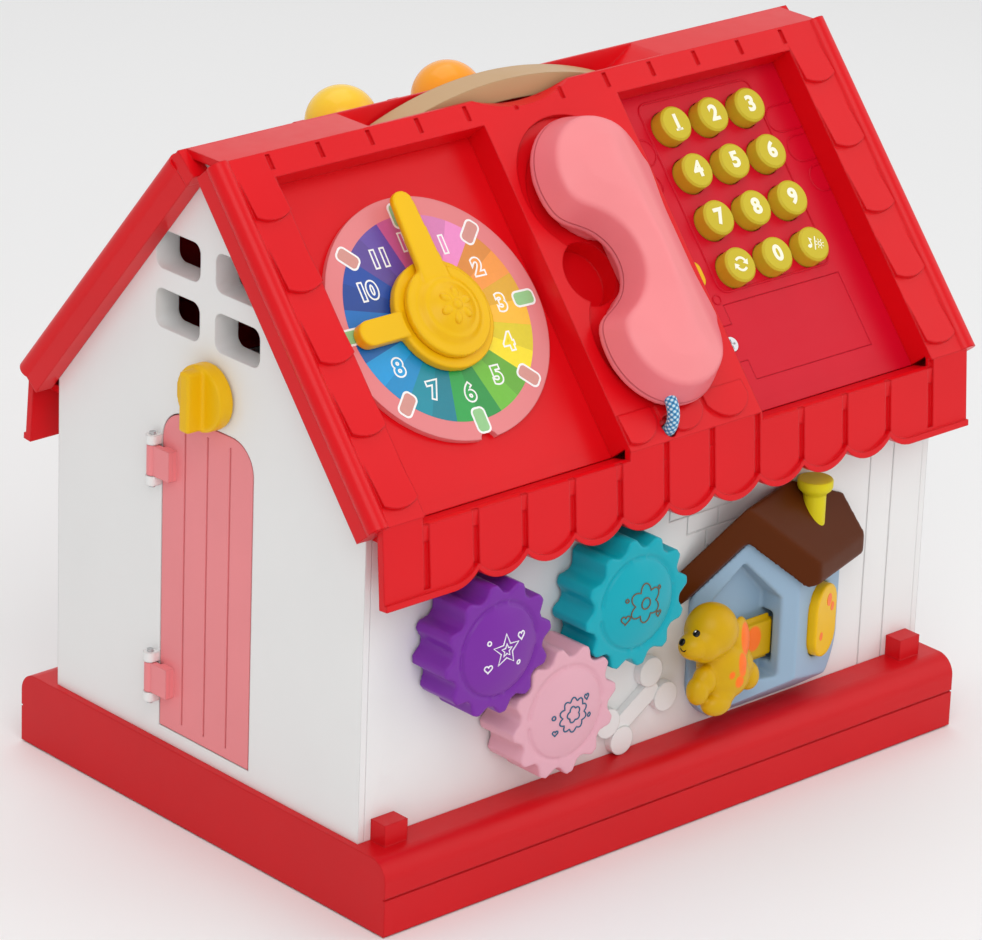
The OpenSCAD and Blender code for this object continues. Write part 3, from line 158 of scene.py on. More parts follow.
def ink(name, colour, rough=0.4):
    """Printed ink with a slight mottle."""
    graph = Graph(name)
    graph.into("Base Color", graph.mix(graph.noise(700, 3), scaled(colour, 0.94), scaled(colour, 1.04)))
    graph.into("Roughness", graph.ramp(graph.noise(400), 0.3, 0.7, rough - 0.04, rough + 0.05))
    return graph.material


def steel(name):
    """Drawn steel with fine scratches along one way."""
    graph = Graph(name)
    stretched = graph.node("ShaderNodeMapping", {"Vector": graph.node("ShaderNodeTexCoord").outputs["Object"],
                                                 "Scale": (40, 900, 900)}).outputs[0]
    marks = graph.noise(4, 4, stretched)
    graph.into("Base Color", graph.mix(marks, srgb(168, 170, 172), srgb(214, 215, 216)))
    graph.into("Metallic", 1.0)
    graph.into("Roughness", graph.ramp(marks, 0.3, 0.7, 0.24, 0.42))
    return graph.material


# Colours at a plain light level
ROOF_RED = srgb(222, 10, 22)
PANEL_RED = srgb(210, 4, 38)
BASE_RED = srgb(208, 14, 24)
WHITE = srgb(238, 238, 237)
TOY_YELLOW = srgb(240, 188, 10)
KEY_OLIVE = srgb(206, 186, 44)
HANDSET_PINK = srgb(244, 142, 146)
DOG_YELLOW = srgb(210, 164, 4)
SPOT_ORANGE = srgb(255, 118, 28)

LOOKS = {
    "roof_red": plastic("roof_red_plastic", ROOF_RED, rough=0.3, grain=0.03, edge=0.9),
    "panel_red": plastic("panel_red_plastic", PANEL_RED, rough=0.36, grain=0.03),
    "base_red": plastic("base_red_plastic", BASE_RED, rough=0.36, grain=0.012, edge=0.9),
    "wall_white": plastic("wall_white_plastic", WHITE, rough=0.34, grain=0.03, variation=0.012, edge=0.8),
    "handle_tan": plastic("handle_tan_plastic", srgb(196, 160, 118), rough=0.4),
    "dial_rim": plastic("dial_rim_plastic", srgb(230, 136, 138), rough=0.3, variation=0.03),
    "toy_yellow": plastic("toy_yellow_plastic", TOY_YELLOW, rough=0.34, edge=0.9),
    "key_olive": plastic("key_olive_plastic", KEY_OLIVE, rough=0.38, edge=0.5),
    "mat_grey": plastic("mat_grey_rubber", srgb(120, 120, 122), rough=0.6),
    "board_green": plastic("board_green_resin", srgb(38, 104, 62), rough=0.36),
    "dark_plastic": plastic("dark_plastic_box", srgb(46, 46, 50), rough=0.42),
    "steel": steel("drawn_steel"),
    "cell": plastic("cell_sleeve", srgb(64, 96, 140), rough=0.28),
    "purple": plastic("gear_purple_plastic", srgb(122, 42, 160), rough=0.3),
    "gear_pink": plastic("gear_pink_plastic", srgb(226, 170, 184), rough=0.34),
    "teal": plastic("gear_teal_plastic", srgb(10, 168, 184), rough=0.3),
    "house_blue": plastic("house_blue_plastic", srgb(152, 180, 204), rough=0.36, edge=0.9),
    "roof_brown": plastic("roof_brown_plastic", srgb(88, 40, 12), rough=0.36, gloss=0.06),
    "chimney_lime": plastic("chimney_lime_plastic", srgb(222, 206, 30), rough=0.36, gloss=0.12),
    "door_pink": plastic("door_pink_plastic", srgb(240, 142, 146), rough=0.36),
    "ball_orange": plastic("ball_orange_plastic", srgb(252, 164, 24), rough=0.24, coat=0.3),
    "ball_yellow": plastic("ball_yellow_plastic", srgb(250, 204, 40), rough=0.24, coat=0.3),
}

NODE_LOOKS = {
    "roof_red": ["roof_front", "roof_back", "clock_panel", "phone_cradle"],
    "base_red": ["base_tray", "base_plate"],
    "wall_white": ["front_wall", "back_wall", "left_wall", "right_wall", "gear_pins"],
    "panel_red": ["keypad_panel", "battery_door"],
    "handle_tan": ["handle"],
    "dial_rim": ["clock_dial"],
    "toy_yellow": ["hour_hand", "minute_hand", "switch_knob", "dog_button", "latch_knob"],
    "key_olive": KEY_NAMES,
    "mat_grey": ["rubber_mat"],
    "board_green": ["circuit_board"],
    "dark_plastic": ["battery_box", "speaker", "latch_cam"],
    "steel": ["base_screws", "clock_spindle", "handset_screws", "battery_door_screw", "battery_contacts",
              "door_hinge_pins", "ball_axle"],
    "cell": ["batteries"],
    "purple": ["gear_purple"],
    "gear_pink": ["gear_pink"],
    "teal": ["gear_teal"],
    "house_blue": ["doghouse_body"],
    "roof_brown": ["doghouse_roof"],
    "chimney_lime": ["doghouse_chimney"],
    "door_pink": ["side_door"],
    "ball_orange": ["ball_orange"],
    "ball_yellow": ["ball_yellow"],
}
for look, members in NODE_LOOKS.items():
    for member in members:
        nodes[member].data.materials.clear()
        nodes[member].data.materials.append(LOOKS[look])


# Mesh helpers

def add_piece(name, mesh, material, body, place=None):
    """Adds a mesh as a piece of the object that rides on a body."""
    piece = bpy.data.objects.new(name, mesh)
    scene.collection.objects.link(piece)
    if material is not None:
        mesh.materials.clear()
        mesh.materials.append(material)
    if place is not None:
        mesh.transform(place)
    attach(piece, body)
    return piece


def settled(source):
    """Mesh of an object with its modifiers applied; the object itself goes."""
    bpy.context.view_layer.update()
    mesh = bpy.data.meshes.new_from_object(source.evaluated_get(bpy.context.evaluated_depsgraph_get()))
    bpy.data.objects.remove(source)
    return mesh


def loose(name, mesh):
    """An object that is only a step on the way to a mesh."""
    made = bpy.data.objects.new(name, mesh)
    scene.collection.objects.link(made)
    return made


def shade_smooth(mesh, angle):
    """Smooth shading, with edges sharper than the angle in degrees left sharp."""
    for polygon in mesh.polygons:
        polygon.use_smooth = True
    if angle < 180:
        mesh.set_sharp_from_angle(angle=math.radians(angle))


def softened(name, mesh, voxel, steps):
    """Remeshes closed shapes into one skin, with a voxel in millimetres, and eases its edges in steps."""
    shape = loose(name, mesh)
    remesh = shape.modifiers.new("skin", "REMESH")
    remesh.mode = "VOXEL"
    remesh.voxel_size = voxel * MM
    ease = shape.modifiers.new("ease", "SMOOTH")
    ease.factor = 0.5
    ease.iterations = steps
    made = settled(shape)
    shade_smooth(made, 180)
    return made


def soft_node(node, body, look, voxel, steps):
    """A rounded copy of a CAD node that stands for it."""
    mesh = softened(node + "_form", nodes[node].data.copy(), voxel, steps)
    piece = add_piece(node + "_rounded", mesh, LOOKS[look], body)
    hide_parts(node)
    return piece


def carved(node, body, look, added, taken):
    """A copy of a CAD node that stands for it, with shapes joined to it and cut from it."""
    bm = bmesh.new()
    bm.from_mesh(nodes[node].data)
    bmesh.ops.remove_doubles(bm, verts=bm.verts, dist=1e-6)
    bm.verts.index_update()
    plain = bpy.data.meshes.new(node + "_form")
    plain.from_pydata([v.co for v in bm.verts], [], [[v.index for v in face.verts] for face in bm.faces])
    bm.free()
    shape = loose(node + "_form", plain)
    tools = []
    for operation, meshes in (("UNION", added), ("DIFFERENCE", taken)):
        for mesh in meshes:
            tools.append(loose("tool", mesh))
            step = shape.modifiers.new("step", "BOOLEAN")
            step.operation = operation
            step.object = tools[-1]
    mesh = settled(shape)
    for tool in tools:
        bpy.data.objects.remove(tool)
    shade_smooth(mesh, 30)
    piece = add_piece(node + "_carved", mesh, LOOKS[look], body)
    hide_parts(node)


def swelling(bm, place, radii):
    """Adds an ellipsoid to a bmesh, in a frame in metres and with radii in millimetres."""
    size = Matrix.Diagonal([r * MM for r in radii] + [1])
    bmesh.ops.create_icosphere(bm, subdivisions=4, radius=1, matrix=place @ size)


def ellipsoid(bm, centre, radii, turn=None):
    """Adds an ellipsoid about a centre in millimetres."""
    place = Matrix.Translation(Vector(centre) * MM)
    swelling(bm, place if turn is None else place @ turn, radii)


def mesh_of(bm, name):
    mesh = bpy.data.meshes.new(name)
    bm.to_mesh(mesh)
    bm.free()
    return mesh


def plate(name, outline, thick, inner=None):
    """A closed flat plate, from z 0 up, of one outline in millimetres; a hole in it has as many points."""
    bm = bmesh.new()
    count = len(outline)
    rings = [outline] if inner is None else [outline, inner]
    made = [[[bm.verts.new((x * MM, y * MM, z * MM)) for x, y in ring] for ring in rings] for z in (0, thick)]
    if inner is None:
        bm.faces.new(made[1][0])
        bm.faces.new(reversed(made[0][0]))
    for i in range(count):
        j = (i + 1) % count
        bm.faces.new((made[0][0][i], made[0][0][j], made[1][0][j], made[1][0][i]))
        if inner is not None:
            bm.faces.new((made[0][1][j], made[0][1][i], made[1][1][i], made[1][1][j]))
            bm.faces.new((made[1][0][i], made[1][0][j], made[1][1][j], made[1][1][i]))
            bm.faces.new((made[0][0][j], made[0][0][i], made[0][1][i], made[0][1][j]))
    return mesh_of(bm, name)


def turned(name, profile, count=64):
    """A closed form turned about z, from radius and height pairs in millimetres, with both ends on the axis."""
    bm = bmesh.new()
    turn = 2 * math.pi / count
    rings = []
    for r, z in profile:
        angles = [k * turn for k in range(count if r else 1)]
        rings.append([bm.verts.new((r * MM * math.cos(a), r * MM * math.sin(a), z * MM)) for a in angles])
    for low, high in zip(rings, rings[1:]):
        for k in range(count):
            j = (k + 1) % count
            corners = [low[k % len(low)], low[j % len(low)], high[j % len(high)], high[k % len(high)]]
            bm.faces.new(list(dict.fromkeys(corners)))
    bmesh.ops.recalc_face_normals(bm, faces=bm.faces)
    made = mesh_of(bm, name)
    shade_smooth(made, 35)
    return made


def circle(r, count, x=0.0, y=0.0):
    angles = [2 * math.pi * i / count for i in range(count)]
    return [(x + r * math.cos(a), y + r * math.sin(a)) for a in angles]


def round_rect(width, height, r):
    per_corner = 8
    points = []
    for k, (sx, sy) in enumerate([(1, 1), (-1, 1), (-1, -1), (1, -1)]):
        for i in range(per_corner + 1):
            angle = math.pi / 2 * (k + i / per_corner)
            points.append((sx * (width / 2 - r) + r * math.cos(angle),
                           sy * (height / 2 - r) + r * math.sin(angle)))
    return points


def lettering(text, size, weight, thick):
    """Mesh of centred figures in the built-in font, in millimetres."""
    curve = bpy.data.curves.new("figures", "FONT")
    curve.body = text
    curve.size = size * MM
    curve.offset = weight * MM
    curve.extrude = thick / 2 * MM
    curve.align_x = "CENTER"
    curve.align_y = "CENTER"
    curve.resolution_u = 6
    made = settled(loose("figures", curve))
    made.transform(Matrix.Translation((0, 0, thick / 2 * MM)))
    return made


def wire(name, lines, radius, closed=False):
    """Mesh of thin round lines through points given in metres."""
    curve = bpy.data.curves.new(name, "CURVE")
    curve.dimensions = "3D"
    curve.bevel_depth = radius * MM
    curve.bevel_resolution = 2
    curve.use_fill_caps = True
    for points in lines:
        spline = curve.splines.new("POLY")
        spline.points.add(len(points) - 1)
        for point, place in zip(spline.points, points):
            point.co = (*place, 1)
        spline.use_cyclic_u = closed
    made = settled(loose(name, curve))
    shade_smooth(made, 60)
    return made


def joined(name, meshes):
    """One mesh of several, keeping each one's materials."""
    bm = bmesh.new()
    materials = []
    for mesh in meshes:
        start = len(bm.faces)
        bm.from_mesh(mesh)
        bm.faces.ensure_lookup_table()
        indices = []
        for material in mesh.materials:
            if material not in materials:
                materials.append(material)
            indices.append(materials.index(material))
        for face in bm.faces[start:]:
            face.material_index = indices[face.material_index] if indices else 0
    made = mesh_of(bm, name)
    for material in materials:
        made.materials.append(material)
    return made


def painted(mesh, material, place=None):
    """The same mesh with one material, moved to its place."""
    mesh.materials.clear()
    mesh.materials.append(material)
    if place is not None:
        mesh.transform(place)
    return mesh


# Camera, fitted to the photograph: view angles in degrees, focal length and centre in pixels, distance in mm
IMAGE = (982, 940)
VIEW_TURN = math.radians(42.96)
VIEW_RISE = math.radians(21.23)
VIEW_ROLL = math.radians(2.16)
FOCAL = 5079.7
CENTRE = (493.04, 410.76)
MARK = Vector((84.5, -35.5, 232))
MARK_PIXEL = (735.354, 159.785)
MARK_DEPTH = 1957.5
SENSOR = 36

turn_cos, turn_sin = math.cos(VIEW_TURN), math.sin(VIEW_TURN)
rise_cos, rise_sin = math.cos(VIEW_RISE), math.sin(VIEW_RISE)
right = Vector((turn_cos, -turn_sin, 0))
up = Vector((turn_sin * rise_sin, turn_cos * rise_sin, rise_cos))
ahead = Vector((turn_sin * rise_cos, turn_cos * rise_cos, -rise_sin))
across = math.cos(VIEW_ROLL) * right + math.sin(VIEW_ROLL) * up
upward = math.cos(VIEW_ROLL) * up - math.sin(VIEW_ROLL) * right
offset = [MARK_DEPTH * (MARK_PIXEL[i] - CENTRE[i]) / FOCAL for i in (0, 1)]
eye = MARK - (offset[0] * across - offset[1] * upward + MARK_DEPTH * ahead)

camera = bpy.data.objects.new("camera", bpy.data.cameras.new("camera"))
scene.collection.objects.link(camera)
camera.data.sensor_fit = "HORIZONTAL"
camera.data.sensor_width = SENSOR
camera.data.lens = FOCAL * SENSOR / IMAGE[0]
camera.data.shift_x = (IMAGE[0] / 2 - CENTRE[0]) / IMAGE[0]
camera.data.shift_y = (CENTRE[1] - IMAGE[1] / 2) / IMAGE[0]
camera.data.clip_end = 50
axes = Matrix((across, upward, -ahead)).transposed().to_4x4()
camera.matrix_world = Matrix.Translation(eye * MM) @ axes
scene.camera = camera

# Telephone cord, along the same route as its solid: s and height over the roof.
# The knot gives the last points of the route their share of its radius.
CORD_X = -8
CORD_RADIUS = 2.4
CORD_ROUTE = [(118, 7), (122, 7), (126, 7), (130.4, 7), (133, 6.7), (135.5, 5.7), (137.6, 4.1), (139.2, 2),
              (140.2, -0.4), (140.5, -3), (140.5, -9), (140.5, -16), (140.5, -23), (140.5, -30), (140.5, -37),
              (140.5, -44), (140.6, -48), (141.5, -53), (143.6, -57.6), (146.7, -61.4), (150.5, -64.6),
              (155, -68.4), (159.7, -72.3), (164.3, -76.1), (167, -78.3), (169.6, -80.5), (172, -82.5)]
KNOT = {3: 0.8, 2: 1.0, 1: 1.0, 0: 0.6}
KNOT_RADIUS = 4.2
CORD_SIDES = 24
CORD_STEPS = 10


def eased_route(route, steps):
    """Points of a smooth curve through the route's points."""
    points = []
    for i in range(len(route) - 1):
        a, b, c, d = (Vector(route[min(max(i + k, 0), len(route) - 1)]) for k in (-1, 0, 1, 2))
        for k in range(steps):
            t = k / steps
            points.append(0.5 * ((2 * b) + (c - a) * t + (2 * a - 5 * b + 4 * c - d) * t * t
                                 + (3 * b - a - 3 * c + d) * t * t * t))
    points.append(Vector(route[-1]))
    return points


def braided_tube(route):
    """A tube with a UV map that runs along and round it."""
    points = eased_route(route, CORD_STEPS)
    bm = bmesh.new()
    uv = bm.loops.layers.uv.new("braid")
    rings = []
    along = [0.0]
    for a, b in zip(points, points[1:]):
        along.append(along[-1] + (b - a).length)
    for i, point in enumerate(points):
        before, after = points[max(i - 1, 0)], points[min(i + 1, len(points) - 1)]
        tangent = (after - before).normalized()
        left = (len(points) - 1 - i) / CORD_STEPS
        low = KNOT.get(math.floor(left), 0) * KNOT_RADIUS or CORD_RADIUS
        high = KNOT.get(math.ceil(left), 0) * KNOT_RADIUS or CORD_RADIUS
        r = low + (high - low) * (left - math.floor(left))
        ring = []
        for k in range(CORD_SIDES):
            w = 2 * math.pi * k / CORD_SIDES
            s = point[0] - r * math.sin(w) * tangent[1]
            h = point[1] + r * math.sin(w) * tangent[0]
            ring.append(bm.verts.new(on_slope(CORD_X + r * math.cos(w), s, h)))
        rings.append(ring)
    for i in range(len(rings) - 1):
        for k in range(CORD_SIDES):
            m = (k + 1) % CORD_SIDES
            face = bm.faces.new((rings[i][k], rings[i][m], rings[i + 1][m], rings[i + 1][k]))
            face.smooth = True
            corners = [(along[i], k), (along[i], k + 1), (along[i + 1], k + 1), (along[i + 1], k)]
            for loop, (u, v) in zip(face.loops, corners):
                loop[uv].uv = (u, v / CORD_SIDES)
    bm.faces.new(rings[0])
    bm.faces.new(reversed(rings[-1]))
    bmesh.ops.recalc_face_normals(bm, faces=bm.faces)
    return mesh_of(bm, "phone_cord_braid"), [on_slope(CORD_X, p[0], p[1]) for p in points], along[-1]


def braid_material():
    """Two sets of strands that cross, light blue with white flecks, with painted shade in darker blue between
    them.
    """
    graph = Graph("cord_braid")
    place = graph.node("ShaderNodeSeparateXYZ", {0: graph.node("ShaderNodeUVMap", uv_map="braid").outputs[0]})
    along = graph.math("MULTIPLY", place.outputs[0], 0.55)
    round_it = graph.math("MULTIPLY", place.outputs[1], 6.0)
    first = graph.math("PINGPONG", graph.math("ADD", along, round_it), 0.5)
    second = graph.math("PINGPONG", graph.math("SUBTRACT", along, round_it), 0.5)
    over = graph.math("MAXIMUM", first, second)
    fleck = graph.ramp(graph.math("MINIMUM", first, second), 0.16, 0.26)
    shade = graph.mix(fleck, srgb(70, 158, 206), srgb(206, 232, 242))
    # Painted shade: darker blue where the strands dip into the gaps between them
    graph.into("Base Color", graph.mix(graph.ramp(over, 0.18, 0.34), srgb(34, 108, 160), shade))
    graph.into("Roughness", graph.ramp(over, 0.2, 0.5, 0.85, 0.62))
    graph.into("Sheen Weight", 0.3)
    bump = graph.node("ShaderNodeBump", {"Height": over, "Strength": 0.9, "Distance": 0.0005})
    graph.into("Normal", bump.outputs[0])
    return graph.material


cord_mesh, cord_path, cord_length = braided_tube(CORD_ROUTE)
cord = add_piece("phone_cord_braided", cord_mesh, braid_material(), "handset")
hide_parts("phone_cord")

# Telephone handset: one smooth form with a leaning flank, a bevel and a slope down from its crest.
# The round ends, the finger cut and the feet are x, s and radius. The profile is depth inside the outline
# and height. The crest is x, height and fall to the right.
EAR = (2.4, 41.8, 26.3)
MOUTH = (1.2, 107.4, 26.8)
GRIP_CUT = (-19.3, 74.8, 16.7)
GRIP_X = (-14, 28)
BLEND = 8
TOP_PROFILE = [(0, 4.4), (4.5, 15.5), (14, 19.6), (24, 21.2)]
CREST = (9, 19.8, 0.462)
CREST_BLEND = 1.2
HANDSET_SEAT = -3
HANDSET_BASE = 1.5
LIP_RISE = 2.2
LIP_WIDE = 3.5
FOOT = [(4, 42.5, 21.5), (3, 107, 21.5)]
FOOT_X = (0, 22)
GRID_START = (-32, 12)
GRID_CELLS = (70, 126)
SEAM_H = 5.8
# Heights over which painted light turns the flank's darker pink into the top's paler pink
PAINTED_LIGHT_H = (14.2, 16.2)


def soft_max(a, b, k):
    """The larger of two values, rounded where they are within k of each other."""
    mixed = max(k - abs(a - b), 0) / k
    return max(a, b) + mixed * mixed * k / 4


def stepped(profile, d):
    """Height at a place on a profile of straight runs."""
    for (d0, h0), (d1, h1) in zip(profile, profile[1:]):
        if d <= d1:
            return h0 + (h1 - h0) * (d - d0) / (d1 - d0)
    return profile[-1][1]


def handset_depth(x, s):
    """Distance inside the handset's outline: two round ends, a bar between them and the cut for the fingers."""
    ear = EAR[2] - math.hypot(x - EAR[0], s - EAR[1])
    mouth = MOUTH[2] - math.hypot(x - MOUTH[0], s - MOUTH[1])
    bar = min(x - GRIP_X[0], GRIP_X[1] - x, s - EAR[1], MOUTH[1] - s)
    whole = soft_max(soft_max(ear, bar, BLEND), mouth, BLEND)
    hollow = math.hypot(x - GRIP_CUT[0], s - GRIP_CUT[1]) - GRIP_CUT[2]
    return -soft_max(-whole, -hollow, BLEND)


def handset_top(x, d):
    """Upper face: a steep flank, a bevel, and a slope down from the crest on the right."""
    top = stepped(TOP_PROFILE, max(d, 0))
    slope = CREST[1] - CREST[2] * (x - CREST[0])
    return max(-soft_max(-top, -slope, CREST_BLEND), TOP_PROFILE[0][1])


def handset_low(x, s, d):
    """Underside: a tapered lip, and the foot that sits in the cradle."""
    foot = max(r - math.hypot(x - fx, s - fs) for fx, fs, r in FOOT)
    if FOOT[0][1] < s < FOOT[1][1]:
        foot = max(foot, min(x - FOOT_X[0], FOOT_X[1] - x))
    if foot > 0:
        return HANDSET_SEAT
    return HANDSET_BASE + LIP_RISE * max(1 - d / LIP_WIDE, 0)


def handset_form():
    """A closed skin on a grid of millimetre cells, whose outer corners are drawn to the outline."""
    bm = bmesh.new()
    cells = {}

    def corner(i, j):
        if (i, j) not in cells:
            x, s = GRID_START[0] + i, GRID_START[1] + j
            d = handset_depth(x, s)
            for _ in range(3):
                if d < 0.9:
                    gx = (handset_depth(x + 0.1, s) - handset_depth(x - 0.1, s)) / 0.2
                    gs = (handset_depth(x, s + 0.1) - handset_depth(x, s - 0.1)) / 0.2
                    norm = max(gx * gx + gs * gs, 0.1)
                    x -= d * gx / norm
                    s -= d * gs / norm
                    d = handset_depth(x, s)
            top = bm.verts.new(on_slope(x, s, handset_top(x, d)))
            low = bm.verts.new(on_slope(x, s, handset_low(x, s, max(d, 0))))
            cells[(i, j)] = (top, low)
        return cells[(i, j)]

    def kept(i, j):
        return handset_depth(GRID_START[0] + i, GRID_START[1] + j) > 0

    edges = {}
    for i in range(GRID_CELLS[0]):
        for j in range(GRID_CELLS[1]):
            square = [(i, j), (i, j + 1), (i + 1, j + 1), (i + 1, j)]
            if not any(kept(*c) for c in square):
                continue
            ends = [corner(*c) for c in square]
            bm.faces.new([e[0] for e in ends])
            bm.faces.new([e[1] for e in reversed(ends)])
            for a, b in zip(square, square[1:] + square[:1]):
                edges[(a, b)] = edges.get((b, a), 0) + 1
                if (b, a) in edges:
                    edges[(b, a)] = edges[(a, b)] = 2
    for (a, b), count in edges.items():
        if count == 1:
            bm.faces.new((cells[a][0], cells[a][1], cells[b][1], cells[b][0]))
    bmesh.ops.recalc_face_normals(bm, faces=bm.faces)
    return mesh_of(bm, "handset_form")


def height_over_roof(graph):
    """Height over the roof face in millimetres, from the piece's own coordinates."""
    place = graph.node("ShaderNodeTexCoord").outputs["Object"]
    away = (0, -math.sin(SLOPE), math.cos(SLOPE))
    base = on_slope(0, 0, 0)
    moved = graph.node("ShaderNodeVectorMath", {0: place, 1: tuple(base)}, operation="SUBTRACT").outputs[0]
    height = graph.node("ShaderNodeVectorMath", {0: moved, 1: away}, operation="DOT_PRODUCT").outputs["Value"]
    return graph.math("MULTIPLY", height, 1000.0)


def handset_material():
    """Pink plastic: a seam in relief darkened by painted shade, and a top made paler than its flank by painted
    light.
    """
    graph = Graph("handset_pink_plastic")
    height = height_over_roof(graph)
    # Painted shade darkens the seam line, and the same mask gives it its relief
    seam_relief_and_shade = graph.ramp(graph.math("ABSOLUTE", graph.math("SUBTRACT", height, SEAM_H)), 0.12, 0.34)
    # Painted light: the top is a paler pink than the flank, which is painted in shade
    painted_light_top = graph.ramp(height, *PAINTED_LIGHT_H)
    shade = graph.mix(painted_light_top, srgb(232, 120, 128), HANDSET_PINK)
    shade = graph.mix(seam_relief_and_shade, srgb(212, 100, 110), shade)
    return moulded(graph, shade, 0.36, 0.05, 0.5, relief=seam_relief_and_shade)


handset_mesh = softened("handset", handset_form(), 0.8, 5)
handset = add_piece("handset_form", handset_mesh, handset_material(), "handset")
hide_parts("handset_lower", "handset_upper")

# Roof shell with the round seat that the handset's upper end lies in
EAR_SEAT = (1.9, 41, 28.4)
EAR_SEAT_DEEP = 2.6
CUT_PROUD = 4
seat_cut = plate("seat", circle(EAR_SEAT[2], 96), EAR_SEAT_DEEP + CUT_PROUD)
seat_cut.transform(slope_frame(EAR_SEAT[0], EAR_SEAT[1], -EAR_SEAT_DEEP))
carved("roof_front", "house", "roof_red", [], [seat_cut])

# Front wall with the brick lines that the photo shows between the gears and the dog house.
# The plain areas are x and z ranges that are filled first.
WALL_FACE = -89
BRICK = (16.9, 8.3)
BRICK_JOINT = 0.5
BRICK_DEEP = 0.4
PLANK_DEEP = 0.5
FILL_DEEP = 1
LINE_PROUD = 1
BRICKS_AT = [(14.4, 110.7), (4.7, 118.4), (21, 118.4), (24.7, 103)]
PLAIN_AREAS = [(-1.5, 28.5, 113.5, 130.2), (106.5, 135.5, 59.5, 84.5), (-136.5, -107.5, 37.5, 62.5)]
PLANK_LINES = [(114, 114.6), (127, 127.6)]


def rectangle(x0, x1, z0, z1):
    return [(x0, z0), (x1, z0), (x1, z1), (x0, z1)]


def in_wall(outline, deep, proud, inner=None):
    """A plate that stands in the front wall, from a depth behind its face to a height before it."""
    made = plate("in_wall", outline, deep + proud, inner)
    made.transform(Matrix.Translation((0, (WALL_FACE + deep) * MM, 0)) @ Matrix.Rotation(math.pi / 2, 4, "X"))
    return made


fills = [in_wall(rectangle(*area), FILL_DEEP, 0) for area in PLAIN_AREAS]
lines = []
for x, z in BRICKS_AT:
    outer = rectangle(x, x + BRICK[0], z, z + BRICK[1])
    inner = rectangle(x + BRICK_JOINT, x + BRICK[0] - BRICK_JOINT,
                      z + BRICK_JOINT, z + BRICK[1] - BRICK_JOINT)
    lines.append(in_wall(outer, BRICK_DEEP, LINE_PROUD, inner))
for x0, x1 in PLANK_LINES:
    lines.append(in_wall(rectangle(x0, x1, *PLAIN_AREAS[1][2:]), PLANK_DEEP, LINE_PROUD))
carved("front_wall", "house", "wall_white", fills, lines)

# Clock dial print: twelve two-tone sectors, outlined figures and small tabs at the rim.
# Figures are their weight and thickness, tabs their width, height and corner radius.
SECTORS = [(222, 104, 166), (240, 142, 202), (246, 156, 66), (250, 190, 46), (248, 226, 26), (112, 190, 54),
           (42, 164, 74), (4, 142, 162), (14, 156, 222), (4, 110, 192), (22, 72, 164), (104, 78, 168)]
DIAL_TURN = -2
PRINT_R = (12, 40.9)
PRINT_T = 0.06
PRINT_ROUGH = 0.34
PRINT_DEEPER = 0.8
FIGURE_R = 30.4
FIGURE_SIZE = 9.3
FIGURE_EDGE = (0.82, 0.10)
FIGURE_FILL = (0.14, 0.14)
TAB_R = 41.1
TAB_EDGE = (10.4, 6.6, 2.3)
TAB_FILL = (8.8, 5.0, 1.6)
TAB_T = (0.16, 0.20)
dial_frame = slope_frame(*CLOCK, DIAL_FACE, DIAL_TURN)
# White print for the edges of the dial's figures and tabs; the same material paints a highlight on the puppy's
# eye
white_print_and_painted_glint = ink("white_print_and_painted_glint", srgb(250, 250, 248))


def sector(start, end):
    """A printed sector of the dial between two angles in degrees."""
    steps = 10
    angles = [math.radians(start + (end - start) * i / steps) for i in range(steps + 1)]
    outer = [(PRINT_R[1] * math.cos(a), PRINT_R[1] * math.sin(a)) for a in angles]
    inner = [(PRINT_R[0] * math.cos(a), PRINT_R[0] * math.sin(a)) for a in reversed(angles)]
    return plate("sector", outer + inner, PRINT_T)


dial_marks = []
for hour, tone in enumerate(SECTORS):
    middle = 90 - 30 * hour
    light = ink("dial_ink_%d" % hour, srgb(*tone), PRINT_ROUGH)
    dark = ink("dial_ink_%d_deep" % hour, scaled(srgb(*tone), PRINT_DEEPER), PRINT_ROUGH)
    dial_marks.append(painted(sector(middle, middle + 15), dark))
    dial_marks.append(painted(sector(middle - 15, middle), light))
    angle = math.radians(middle)
    at = Matrix.Translation(Vector((math.cos(angle), math.sin(angle), 0)) * FIGURE_R * MM)
    figure = str(hour or 12)
    dial_marks.append(painted(lettering(figure, FIGURE_SIZE, *FIGURE_EDGE), white_print_and_painted_glint, at))
    dial_marks.append(painted(lettering(figure, FIGURE_SIZE, *FIGURE_FILL), light, at))
tab_green = ink("tab_green", srgb(150, 204, 140))
tab_salmon = ink("tab_salmon", srgb(214, 150, 140))
for k in range(8):
    spin = Matrix.Rotation(math.radians(45 * k), 4, "Z") @ Matrix.Translation((TAB_R * MM, 0, 0))
    tone = tab_salmon if k % 2 else tab_green
    dial_marks.append(painted(plate("tab_edge", round_rect(*TAB_EDGE), TAB_T[0]), white_print_and_painted_glint, spin))
    dial_marks.append(painted(plate("tab", round_rect(*TAB_FILL), TAB_T[1]), tone, spin))
dial_print = joined("dial_print", dial_marks)
add_piece("dial_printing", dial_print, None, "house", dial_frame)

# Clock hands with eased edges, and a flower relief on the hub
soft_node("hour_hand", "hour_hand", "toy_yellow", 0.55, 6)
soft_node("minute_hand", "minute_hand", "toy_yellow", 0.55, 6)
HUB_TOP = 3.6
HUB_TURN = 12
PETAL_AT = (4.4, 0, -0.9)
PETAL = (2.9, 1.9, 1.5)
MIDDLE = (2.3, 2.3, 1.5)
hub = bmesh.new()
hub_frame = slope_frame(*CLOCK, HUB_TOP, HUB_TURN)
for k in range(6):
    turn = Matrix.Rotation(math.radians(60 * k), 4, "Z")
    swelling(hub, hub_frame @ turn @ Matrix.Translation(Vector(PETAL_AT) * MM), PETAL)
swelling(hub, hub_frame, MIDDLE)
hub_mesh = mesh_of(hub, "hub_flower")
shade_smooth(hub_mesh, 180)
add_piece("hub_flower", hub_mesh, LOOKS["toy_yellow"], "minute_hand")

